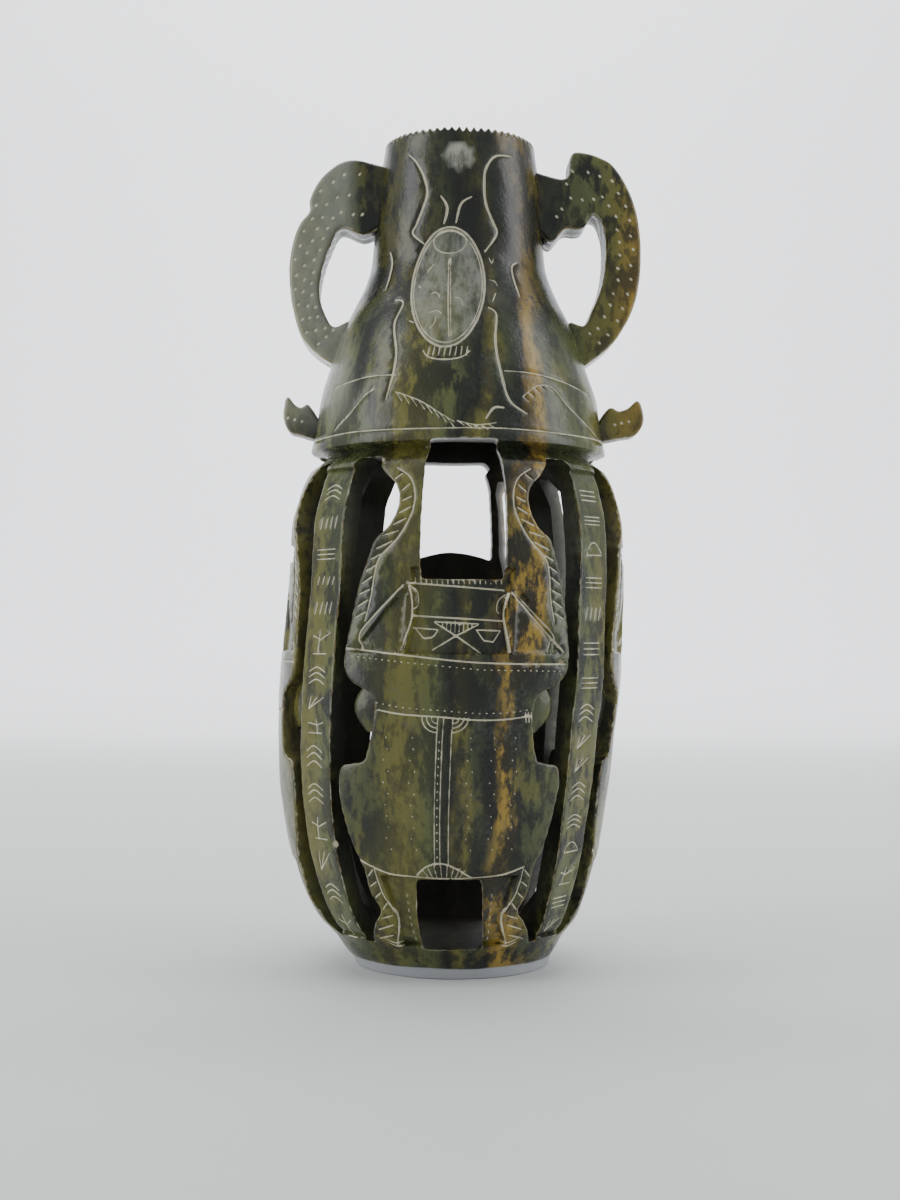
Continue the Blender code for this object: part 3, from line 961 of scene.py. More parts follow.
    def front(self) -> list[Stroke]:
        """Every stroke of the front scarab.

        Returns:
            The strokes.
        """
        made = [Stroke(smooth_line(line, 6), 0.34, 0.30, False) for line in self.outline]
        made += [Stroke(smooth_line(line, 6), 0.22, 0.18) for line in self.light]
        made += [Stroke(np.array(line), 0.34, 0.28) for line in self.face]
        for angle in np.arange(-5.6, 4.2, 1.35):
            low = 97.6 - 0.30 * (6.0 - abs(angle + 1.1))
            made.append(Stroke(np.array([(angle, 98.3), (angle, low)]), 0.17, 0.15))
        for angle in np.arange(-15.4, 13.6, 1.75):
            wave = 0.22 * math.sin(angle * 5.0)
            made.append(Stroke(np.array([(angle, 110.6 + wave), (angle + 0.2, 108.9)]), 0.24, 0.22))
        for angle in self.suture:
            made.append(Stroke(np.array([(angle, 73.2), (angle + 0.1, 52.0), (angle, 33.8)]),
                               0.19, 0.16, False))
        for side, middle in ((-1, -5.2), (1, -0.2)):
            for size in (1.5, 2.7, 3.9):
                turn = np.linspace(0.0, 0.5 * math.pi, 7)
                fan = np.column_stack([middle + side * size * 1.2 * np.cos(turn),
                                       73.3 - size * np.sin(turn)])
                made.append(Stroke(fan, 0.22, 0.2))
        for angle in (-27.2, -26.2, -25.2, 22.6, 23.6, 24.6):
            lean = -0.4 if angle < 0 else 0.6
            made.append(Stroke(np.array([(angle, 74.6), (angle + lean, 72.0)]), 0.2, 0.18))
        for turn in np.linspace(-0.8, 0.8, 8):
            low = (-1.9 + 7.4 * math.sin(turn), 30.4)
            high = (-1.9 + 10.0 * math.sin(turn), 33.6 - 2 * turn ** 2)
            made.append(Stroke(np.array([low, high]), 0.2, 0.18))
        made += list(self.dots(self.outline[6], -1.9))
        made += list(self.dots(self.outline[7], 1.7))
        for angle in (-21.0, -12.5, 5.5, 13.0, 20.0):
            spots = self.form.spaced([(angle, 68.0), (angle + 0.6, 38.0)], 3.1)
            for number, (spot, height) in enumerate(spots):
                wide = spot + 0.9 * math.sin(number * 2.7)
                made.append(Stroke(np.array([(wide, height), (wide + 0.1, height - 0.2)]), 0.15, 0.10))
        for height in np.arange(67.0, 36.0, -2.2):
            made.append(Stroke(np.array([(-4.1, height), (-4.05, height - 0.3)]), 0.14, 0.10))
        made += list(self.legs())
        made += self.feet()
        return made

    def feet(self) -> list[Stroke]:
        """Toe lines of the hind legs and dotted borders of the foot pillars.

        Returns:
            The strokes.
        """
        made = []
        for side in (-1, 1):
            for lift in (0.0, 1.1):
                toe = [(22.5, 10.3 + lift), (26.5, 9.7 + lift), (30.0, 10.8 + lift)]
                made.append(Stroke(smooth_line([(side * a, z) for a, z in toe], 5), 0.26, 0.24))
            for height in np.arange(12.0, 26.0, 2.1):
                made.append(Stroke(np.array([(side * 16.2, height), (side * 16.2, height + 0.7)]),
                                   0.18, 0.14))
        return made

    def strokes(self) -> list[Stroke]:
        """The front scarab, and the same lines made plainer on the sides and the back.

        Returns:
            The strokes.
        """
        front = self.front()
        made = list(front)
        for panel in PANELS[1:]:
            scale = panel.half / self.front_half
            for item in front:
                if item.half < 0.21:
                    continue
                line = item.line * [scale, 1.0] + [panel.centre, 0.0]
                made.append(replace(item, line=line))
        return made


class Sign(Enum):
    """Kinds of meaningless marks that stand in the rows on the ribs."""

    BARS = 0
    CHEVRONS = 1
    STEM = 2
    ARC = 3
    RING = 4
    TICKS = 5
    FAN = 6


@dataclass
class RibCarving:
    """Rows of shallow strokes down the ribs, which say nothing."""

    form: TurnedForm
    half: float = 5.6
    cell: float = 8.4
    low: float = 15.5
    high: float = 138.0

    def mark(self, sign: Sign, wild: float) -> list[Line]:
        """Strokes of one mark in a square from -1 to 1.

        Args:
            sign: the kind of mark.
            wild: how far it leans.

        Returns:
            The points of the mark's strokes.
        """
        if sign is Sign.BARS:
            return [((-0.9, y), (0.8, y + wild * 0.2)) for y in (-0.45, 0.0, 0.45)]
        if sign is Sign.CHEVRONS:
            return [((-0.8, y), (-0.1, y + 0.42), (0.7, y - 0.05)) for y in (-0.7, -0.1, 0.4)]
        if sign is Sign.STEM:
            return [((wild, -0.9), (wild * 0.4, 0.9)), ((wild * 0.5, 0.1), (0.8, 0.6)),
                    ((-0.7, 0.45), (wild * 0.5, 0.2)), ((-0.6, -0.85), (0.7, -0.85))]
        if sign is Sign.ARC:
            return [((-0.8, -0.3), (-0.4, 0.4), (0.2, 0.5), (0.8, -0.2)), ((-0.8, -0.4), (0.8, -0.35))]
        if sign is Sign.RING:
            turn = np.linspace(0.4, 6.4, 11)
            loop = [(0.55 * math.cos(t), 0.1 + 0.6 * math.sin(t)) for t in turn]
            return [tuple(loop), ((-0.5, -0.85), (0.6, -0.8))]
        if sign is Sign.TICKS:
            return [((x, -0.5 + wild * 0.3), (x + 0.15, 0.55)) for x in (-0.75, -0.25, 0.25, 0.7)]
        return [((-0.7, -0.8), (x, 0.75)) for x in (-0.5, 0.1, 0.7)]

    def strokes(self) -> list[Stroke]:
        """Fill every rib from top to bottom, each in its own order.

        Returns:
            The strokes.
        """
        made = []
        for number, centre in enumerate(RIBS):
            rng = np.random.default_rng(11 + number)
            height = self.high
            while height > self.low:
                sign = Sign(int(rng.integers(0, len(Sign))))
                tall = self.cell * rng.uniform(0.62, 1.15)
                wild = rng.uniform(-0.35, 0.35)
                for line in self.mark(sign, wild):
                    spot = np.array(line) * [self.half, 0.40 * tall]
                    spot = smooth_line(spot, 3) if len(line) > 2 else spot
                    made.append(Stroke(spot + [centre, height - 0.5 * tall], 0.27, 0.20))
                height -= tall + rng.uniform(0.4, 1.2)
        return made


@dataclass
class Shell:
    """The turned and pierced wall of the vase, outside, inside and through its openings."""

    form: TurnedForm
    openings: Openings
    relief: Relief
    neck: NeckCarving
    strokes: list[Stroke]
    grain: float = 1.65
    inner_grain: float = 3.0
    rounding: float = 0.5
    least: float = 0.3
    scallops: int = 62
    scallop_depth: float = 1.4
    rim_points: int = 372
    base_points: int = 190
    lip_points: int = 230
    floor_points: int = 110
    lip_rows: tuple[float, ...] = (144.0, 144.7, 145.6, 146.5, 147.0, 147.5, 148.0, 148.6, 149.6)
    base_rows: tuple[float, ...] = (0.4, 2.6, 3.1, 3.9)
    wall_shares: tuple[float, ...] = (0.10, 0.5, 0.9)
    disc_shares: tuple[float, ...] = (0.94, 0.75, 0.5, 0.25)
    inner_lap: float = 0.35
    full_cut: float = 0.34
    chips: tuple[tuple[float, float, float, float], ...] = (
        (-33.4, 142.4, 2.6, 1.5), (-44.0, 37.8, 1.5, 1.2), (-12.5, 89.7, 1.0, 0.5),
        (22.5, 87.6, 1.6, 0.6), (26.0, 87.2, 1.0, 0.5), (-17.4, 109.6, 1.5, 0.7),
        (10.5, 110.4, 1.6, 0.7), (34.5, 88.2, 1.4, 0.7), (47.8, 118.0, 1.2, 0.7),
        (-46.0, 96.0, 1.2, 0.6), (120.5, 84.0, 1.8, 0.9), (-135.0, 60.0, 1.6, 0.8),
        (196.0, 101.0, 1.6, 0.7), (57.0, 30.0, 1.4, 0.8), (84.0, 52.0, 1.4, 0.5),
    )

    def drop(self, polar: Array, fade: float) -> Array:
        """Depth of the rim's uneven scallops, fading out below the edge.

        Args:
            polar: angle in degrees and height in millimetres of each point.
            fade: how far below the rim they reach, in millimetres.

        Returns:
            Depth of each point, in millimetres.
        """
        turn = np.radians(polar[:, 0])
        wave = 0.5 + 0.5 * np.cos(turn * self.scallops + 0.5 * np.sin(turn * 5))
        much = 0.75 + 0.25 * np.sin(turn * 7 + 1) * np.cos(turn * 4)
        return self.scallop_depth * wave ** 0.8 * much * smoothstep(
            (polar[:, 1] - self.form.height + fade) / fade)

    def wobble(self, places: Array) -> Array:
        """Low uneven waves left by hand tools and polishing.

        Args:
            places: places in millimetres.

        Returns:
            Height of the waves at each point, in millimetres.
        """
        x, y, z = places.T
        return (0.10 * np.sin(0.21 * z + 0.13 * x + 1.0) * np.cos(0.17 * x - 0.11 * y)
                + 0.06 * np.sin(0.57 * x + 0.33 * z) * np.sin(0.49 * y - 0.21 * z))

    def background(self, grain: float, low: float) -> Array:
        """Staggered points over the whole turned form, a grain apart.

        Args:
            grain: distance between points, in millimetres.
            low: height of the lowest row.

        Returns:
            Angle and height of each point.
        """
        made = []
        reach = np.interp([low, self.form.height], self.form.heights, self.form.arc)
        for number, arc in enumerate(np.arange(reach[0] + grain, reach[1] - 0.6 * grain, grain * 0.87)):
            height = np.interp(arc, self.form.arc, self.form.heights)
            count = int(2 * math.pi * self.form.outside(height) / grain)
            turn = (np.arange(count) + 0.5 * (number % 2)) * 360.0 / count
            made.append(np.column_stack([turn, np.full(count, height)]))
        return np.vstack(made)

    def ring(self, height: float, count: int) -> Array:
        """Evenly spaced points round the form at a height."""
        return np.column_stack([np.arange(count) * 360.0 / count, np.full(count, height)])

    def in_opening(self, polar: Array, within: bool = False) -> Array:
        """Tell which (angle, height) points lie in an opening, outside or within the wall.

        Args:
            polar: angle in degrees and height in millimetres of each point.
            within: whether the points lie on the inside of the wall.

        Returns:
            True for each point in an opening.
        """
        hit = np.zeros(len(polar), bool)
        for middle, loop, look in self.outlines:
            near = np.column_stack([turned(polar[:, 0], middle) + middle, polar[:, 1]])
            hit |= inside(near, self.through(loop, np.full(len(loop), look)) if within else loop)
        return hit

    def through(self, polar: Array, looks: Array) -> Array:
        """Carry points through the wall, straight along the way that a window looks.

        The distance to the middle line, radius times the sine of the turn, stays the same.

        Args:
            polar: angle in degrees and height in millimetres of each point.
            looks: angle that each point's window looks along, or not a number.

        Returns:
            Angle and height on the inside.
        """
        aside = self.form.outside(polar[:, 1]) * np.sin(np.radians(polar[:, 0] - looks))
        turn = np.degrees(np.arcsin(aside / self.form.hollow(polar[:, 1])))
        return np.column_stack([np.where(np.isnan(looks), polar[:, 0], looks + turn), polar[:, 1]])

    def thinned(self, wanted: Array, kept: Array, gap: float, cell: float,
                within: bool = False) -> Array:
        """Drop points in openings, closer than a gap to kept ones, or crowded together.

        Args:
            wanted: points to choose from.
            kept: points that stay.
            gap: least distance to a kept point, in millimetres.
            cell: cell that holds one new point.
            within: whether the points lie on the inside of the wall.

        Returns:
            The points that are left.
        """
        wanted = wanted[~self.in_opening(wanted, within)]
        places = self.form.place(wanted)
        _, first = np.unique(np.round(places / cell).astype(int), axis=0, return_index=True)
        wanted, places = wanted[first], places[first]
        clear, _ = nearest(places, self.form.place(kept), gap)
        return wanted[clear > gap]

    def layout(self) -> tuple[Array, Array]:
        """Choose the points and the edges of the outer sheet, in (angle, height).

        Returns:
            Points as angle and height, and pairs of numbers that are edges.
        """
        rows = [self.ring(0.0, self.base_points), self.ring(self.form.height, self.rim_points)]
        edges = [chain(0, self.base_points, True),
                 chain(self.base_points, self.rim_points, True)]
        count = self.base_points + self.rim_points
        looks = [np.full(count, math.nan)]
        for _, loop, look in self.outlines:
            rows.append(loop)
            looks.append(np.full(len(loop), look))
            edges.append(chain(count, len(loop), True))
            count += len(loop)
        self.looks = np.concatenate(looks)
        firm = np.vstack(rows)
        sides, caps = [], []
        for stroke in self.strokes:
            line = self.form.spaced(stroke.line, 0.85)
            keep = ~self.in_opening(line)
            clear, _ = nearest(self.form.place(line), self.form.place(firm), 0.45)
            keep &= clear > 0.4
            wide = np.maximum(stroke.widths(len(line)), self.least)
            sides += [self.form.aside(line, wide)[keep], self.form.aside(line, -wide)[keep]]
            caps += [self.form.about(line[end], self.least) for end in (0, -1)]
            number = np.flatnonzero(keep)
            if not len(number):
                continue
            joined = np.flatnonzero(np.diff(number) == 1)
            rows.append(line[number])
            edges.append(np.column_stack([joined, joined + 1]) + count)
            count += len(number)
        kept = np.vstack(rows)
        rim = self.form.height
        layers = [
            (np.vstack(sides), 0.2, 0.15),
            (np.vstack(caps), 0.22, 0.15),
            (np.vstack([self.form.aside(np.vstack([loop, loop[:1]]), offset)
                        for _, loop, _ in self.outlines for offset in (-0.25, 0.25, -0.7, 0.7)]),
             0.2, 0.15),
            (np.vstack([self.ring(rim - 0.35, self.rim_points), self.ring(rim - 1.0, self.rim_points),
                        self.ring(rim - 2.1, self.rim_points // 2)]), 0.2, 0.15),
            (np.vstack([self.ring(height, self.lip_points) for height in self.lip_rows]), 0.35, 0.3),
            (np.vstack([self.ring(height, self.base_points) for height in self.base_rows]), 0.3, 0.25),
            (np.vstack(self.relief.creases()), 0.3, 0.25),
            (self.background(self.grain, 0.5), 0.8, 0.7),
        ]
        for wanted, gap, cell in layers:
            kept = np.vstack([kept, self.thinned(wanted, kept, gap, cell)])
        return kept, np.vstack(edges)

    def surface(self, polar: Array) -> tuple[Array, dict[str, Array]]:
        """Lift (angle, height) points on to the carved outside.

        The radius is the turned one, less the relief, less a V along the strokes (its depth
        falls evenly from the middle to the half width), less the rounding of the edges, which
        is a quarter round of the distance to an edge.

        Args:
            polar: the points of the sheet.

        Returns:
            Their places in millimetres, and the marks for the finish.
        """
        flat = self.form.place(polar)
        lines, wide, deep = [], [], []
        for stroke in self.strokes:
            line = self.form.spaced(stroke.line, 0.22)
            lines.append(line)
            wide.append(stroke.widths(len(line)))
            deep.append(stroke.depth * stroke.widths(len(line)) / stroke.half)
        away, number = nearest(flat, self.form.place(np.vstack(lines)), 1.0)
        width = np.concatenate(wide)[number]
        share = np.clip(1 - away / np.maximum(width, self.least), 0.0, 1.0)
        groove = np.concatenate(deep)[number] * share
        cut = share * np.clip(width / self.full_cut, 0.5, 1.0)
        rims = [self.ring(self.form.height, self.rim_points)]
        rims += [self.form.spaced(np.vstack([loop, loop[:1]]), 0.3) for _, loop, _ in self.outlines]
        away, _ = nearest(flat, self.form.place(np.vstack(rims)), 4.0)
        turn = 1 - np.clip(away / self.rounding, 0.0, 1.0)
        worn = self.rounding * (1 - np.sqrt(1 - 0.98 * turn ** 2))
        spots = np.array(self.chips)
        dent = np.zeros(len(flat))
        for (angle, height, size, deepest), spot in zip(self.chips, self.form.place(spots[:, :2])):
            out = np.linalg.norm(flat - spot, axis=1) / size
            dent = np.maximum(dent, deepest * np.clip(1 - out ** 2, 0.0, 1.0))
        relief = self.relief.depth(polar)
        pale = self.neck.pale(polar)
        hollow = relief + worn + groove + dent + 0.12 * pale * np.sin(flat[:, 0] * 2.1) ** 2
        radius = self.form.outside(polar[:, 1]) - hollow + self.wobble(flat)
        places = self.form.place(polar, radius)
        places[:, 2] -= self.drop(polar, 2.4)
        near = np.exp(-away / 0.55)
        return places, {"cut": cut, "edge": np.maximum(near, np.clip(dent * 2.2, 0, 1)), "pale": pale}

    def build(self, parts: MeshParts) -> None:
        """Add the outer sheet, the inner sheet, the walls of the openings, the rim and floors.

        Args:
            parts: the piece that is being gathered.
        """
        self.outlines = self.openings.outlines()
        polar, edges = self.layout()
        plane, triangles = triangulate(self.form.to_plane(polar), edges)
        polar = self.form.from_plane(plane)
        polar[:self.base_points, 1] = 0.0
        middle = self.form.from_plane(plane[triangles].mean(1))
        keep = ~self.in_opening(middle) & (middle[:, 1] > 0.004)
        triangles = triangles[keep][:, ::-1]
        places, marks = self.surface(polar)
        outer = parts.add(places, triangles, **marks)
        rim = open_edges(triangles, len(polar))
        rim = rim[(polar[rim, 1] > 0.01).all(1)]
        LOG.info("outer sheet: %d points, %d triangles", len(polar), len(triangles))
        border, position = np.unique(rim, return_inverse=True)
        rim = position.reshape(rim.shape)
        self.disc(parts, outer[:self.base_points], places[:self.base_points], 0.0, True, edge=0.3)
        firm = self.form.place(polar[:len(self.looks)])
        _, close = nearest(self.form.place(polar[border]), firm, 2.0)
        within = self.through(polar[border], self.looks[close])
        self.inside_sheet(parts, within, rim, outer[border], places[border])

    def inside_sheet(self, parts: MeshParts, polar: Array, rim: Array, outer: Array,
                     places: Array) -> None:
        """Add the plain inner sheet and the walls that join it to the outer one.

        Args:
            parts: the piece that is being gathered.
            polar: angle and height on the inside of the points on the outer sheet's edges.
            rim: directed edges between them.
            outer: the numbers of the outer points in the piece.
            places: the places of the outer points in millimetres.
        """
        count = len(polar)
        floor = self.ring(self.form.floor, self.floor_points)
        fill = self.background(self.inner_grain, self.form.floor)
        fill = self.thinned(fill, polar, 1.5, 1.5, True)
        whole = self.form.to_plane(np.vstack([polar, floor, fill]))
        edges = np.vstack([rim, chain(count, len(floor), True)])
        made, triangles = triangulate(whole, edges)
        where = self.form.from_plane(made)
        where[:count] = polar
        middle = self.form.from_plane(made[triangles].mean(1))
        keep = ~self.in_opening(middle, True) & (middle[:, 1] > self.form.floor + 0.004)
        radius = self.form.hollow(where[:, 1])
        radius[:count] += self.inner_lap
        inner_places = self.form.place(where, radius)
        inner_places[:, 2] -= self.drop(where, 0.8)
        # The inside sheet is darkened fully in the finish: painted shade.
        inner = parts.add(inner_places, triangles[keep], hollow=1.0)
        row = outer
        for share in self.wall_shares:
            between = places + share * (inner_places[:count] - places)
            # The window wall rows grow darker inwards in the finish: painted shade.
            following = parts.add(between, NO_TRIANGLES, hollow=0.25 + 0.7 * share,
                                  edge=math.exp(-share * 12))
            parts.join(rim, row, following)
            row = following
        parts.join(rim, row, inner[:count])
        start = count + np.arange(len(floor))
        self.disc(parts, inner[start], inner_places[start], self.form.floor, False, hollow=1.0)

    def disc(self, parts: MeshParts, numbers: Array, places: Array, height: float, down: bool,
             **marks: float) -> None:
        """Close a ring with a flat disc of smaller and smaller rings.

        Args:
            parts: the piece that is being gathered.
            numbers: point numbers of the ring.
            places: places in millimetres.
            height: height of the disc.
            down: whether it faces down.
            marks: values for the finish.
        """
        count = len(numbers)
        middle = places.mean(0)
        row = numbers
        edges = chain(0, count, True)
        edges = edges if not down else edges[:, ::-1]
        for share in self.disc_shares:
            ring = middle + share * (places - middle)
            ring[:, 2] = height
            following = parts.add(ring, NO_TRIANGLES, **marks)
            parts.join(edges[:, ::-1], row, following)
            row = following
        tip = parts.add(np.array([[middle[0], middle[1], height]]), NO_TRIANGLES, **marks)
        a, b = row[edges[:, 0]], row[edges[:, 1]]
        parts.triangles.append(np.column_stack([a, b, np.full(count, tip[0])]))


@dataclass
class MiddleLegs:
    """The eight middle legs, deep in the slots beside the waists."""

    form: TurnedForm
    outline: Line = ((0.556, 0.800), (0.540, 0.885), (0.515, 0.935), (0.490, 0.895), (0.466, 0.790))
    root: float = 0.600
    outer_sink: float = 3.2
    inner_sink: float = 6.2
    around: int = 20
    along: int = 16

    def build(self, parts: MeshParts) -> None:
        """Add every leg as a pillow: a rounded square carried up through the heights.

        Args:
            parts: the piece that is being gathered.
        """
        edge = smooth_line(self.outline, 8)[::-1]
        for panel in PANELS:
            for side in (-1, 1):
                self.leg(parts, panel, side, edge)

    def leg(self, parts: MeshParts, panel: Panel, side: int, edge: Array) -> None:
        """Add one leg: angle and radius are powers of a cosine and a sine round each row.

        Args:
            parts: the piece that is being gathered.
            panel: the scarab panel.
            side: -1 for the left, 1 for the right.
            edge: the leg's outline as height and reach shares.
        """
        turn = np.arange(self.around) * 2 * math.pi / self.around
        across = np.sign(np.cos(turn)) * np.abs(np.cos(turn)) ** 0.5
        deep = np.sign(np.sin(turn)) * np.abs(np.sin(turn)) ** 0.5
        share = np.linspace(0.0, 1.0, self.along)
        height = np.interp(share, [0, 1], [edge[0, 0], edge[-1, 0]]) * self.form.body
        reach = np.interp(height / self.form.body, edge[:, 0], edge[:, 1])
        swell = np.clip(np.sin(math.pi * np.clip(share, 0.02, 0.98)), 0.0, 1.0) ** 0.35
        middle, half = 0.5 * (reach + self.root), 0.5 * (reach - self.root)
        angle = panel.centre + side * panel.half * (middle[:, None] + half[:, None] * across[None])
        radius = self.form.outside(height)[:, None] - 0.5 * (self.outer_sink + self.inner_sink)
        radius = radius + 0.5 * (self.inner_sink - self.outer_sink) * deep[None] * swell[:, None]
        polar = np.column_stack([angle.ravel(), np.repeat(height, self.around)])
        places = self.form.place(polar, radius.ravel())
        # hollow=0.2 darkens the legs a little in the finish: painted shade deep in the slots.
        start = parts.add(places, NO_TRIANGLES, hollow=0.2,
                          edge=np.tile(np.exp(-6 * (1 - np.clip(across, 0, 1))), self.along) * 0.6)
        rows = start.reshape(self.along, self.around)
        ring = chain(0, self.around, True)
        ring = ring if side > 0 else ring[:, ::-1]
        for low, high in zip(rows, rows[1:]):
            parts.join(ring[:, ::-1], low, high)
        for row, order in ((rows[0], ring), (rows[-1], ring[:, ::-1])):
            tip = parts.add(places[row - start[0]].mean(0)[None], NO_TRIANGLES, hollow=0.2)
            parts.triangles.append(np.column_stack(
                [row[order[:, 1]], row[order[:, 0]], np.full(self.around, tip[0])]))


@dataclass
class Slab:
    """A plate cut from the block across its width, with worn edges and pecked pits."""

    form: TurnedForm
    outline: Array
    thickness: float
    pits: list[Array]
    side: int
    rounding: float = 1.3
    grain: float = 1.7
    shrink: float = 0.02

    def build(self, parts: MeshParts) -> None:
        """Add the plate: two faces whose depth is a quarter round of the distance to the edge.

        Args:
            parts: the piece that is being gathered.
        """
        loop = evenly(self.outline, np.hypot(*np.diff(self.outline, axis=0).T), 0.9)[:-1]
        firm = np.vstack([loop, *self.pits]) if self.pits else loop
        low, high = loop.min(0), loop.max(0)
        across = np.arange(low[0], high[0], self.grain)
        up = np.arange(low[1], high[1], self.grain * 0.87)
        grid = np.stack(np.meshgrid(across, up), -1)
        grid[1::2, :, 0] += 0.5 * self.grain
        fill = grid.reshape(-1, 2)
        shift = np.array([(0.4, 0.0), (-0.4, 0.0), (0.0, 0.4), (0.0, -0.4), (0.28, 0.28), (-0.28, -0.28),
                          (0.28, -0.28), (-0.28, 0.28)])
        rims = np.vstack([pit[end][None] + much * shift for pit in self.pits
                          for end in (0, -1) for much in (0.8, 1.7)]) if self.pits else loop[:0]
        normal = np.gradient(np.vstack([loop[-1:], loop, loop[:1]]), axis=0)[1:-1]
        normal = np.column_stack([-normal[:, 1], normal[:, 0]])
        normal /= np.linalg.norm(normal, axis=1)[:, None]
        bands = np.vstack([loop + normal * offset for offset in (-1.4, -0.8, -0.35, 0.35, 0.8, 1.4)])
        for wanted, gap in ((rims, 0.2), (bands, 0.32), (fill, 0.9)):
            wanted = wanted[inside(wanted, loop)]
            clear, _ = nearest(self.lift(wanted), self.lift(firm), 1.0)
            wanted = wanted[clear > gap]
            _, first = np.unique(np.round(wanted / (gap * 0.9)).astype(int), axis=0, return_index=True)
            firm = np.vstack([firm, wanted[first]])
        plane, triangles = triangulate(firm * self.shrink, chain(0, len(loop), True))
        plane = plane / self.shrink
        triangles = triangles[inside(plane[triangles].mean(1), loop)]
        away, _ = nearest(self.lift(plane), self.lift(loop), 9.0)
        turn = 1 - np.clip(away / self.rounding, 0.0, 1.0)
        depth = 0.5 * self.thickness - self.rounding * (1 - np.sqrt(1 - 0.98 * turn ** 2))
        cut = np.zeros(len(plane))
        if self.pits:
            tips = np.vstack(self.pits)
            close, _ = nearest(self.lift(plane), self.lift(tips), 2.0)
            cut = 0.62 * np.clip(1.25 - close / 0.42, 0.0, 1.0)
        depth = depth - 0.30 * cut + 0.12 * np.sin(plane[:, 0] * 0.9) * np.sin(plane[:, 1] * 0.7 + 1)
        edge = np.exp(-away / 0.8)
        count = len(plane)
        rows = []
        for face in (-1, 1):
            places = self.space(plane, face * depth)
            rows.append(parts.add(places, triangles[:, ::face * self.side], cut=cut, edge=edge))
        rim = open_edges(triangles[:, ::-self.side], count)
        border, position = np.unique(rim, return_inverse=True)
        rim = position.reshape(rim.shape)
        row = rows[0][border]
        for share in (-0.8, -0.4, 0.0, 0.4, 0.8):
            wave = 0.18 * np.sin(plane[border, 1] * 1.3 + share * 5)
            following = parts.add(self.space(plane[border] + wave[:, None], share * depth[border]),
                                  NO_TRIANGLES, edge=0.25, hollow=0.1)
            parts.join(rim, row, following)
            row = following
        parts.join(rim, row, rows[1][border])

    @staticmethod
    def lift(plane: Array) -> Array:
        """Stand (reach, height) points up for the search of neighbours."""
        return np.column_stack([plane[:, 0], np.zeros(len(plane)), plane[:, 1]])

    def space(self, plane: Array, depth: Array) -> Array:
        """Put (reach, height) points in space on one side of the axis."""
        lean = eased(plane[:, 1], *zip(*self.form.lean_knots)) + self.form.axis
        return np.column_stack([self.side * plane[:, 0] + lean, depth, plane[:, 1]])


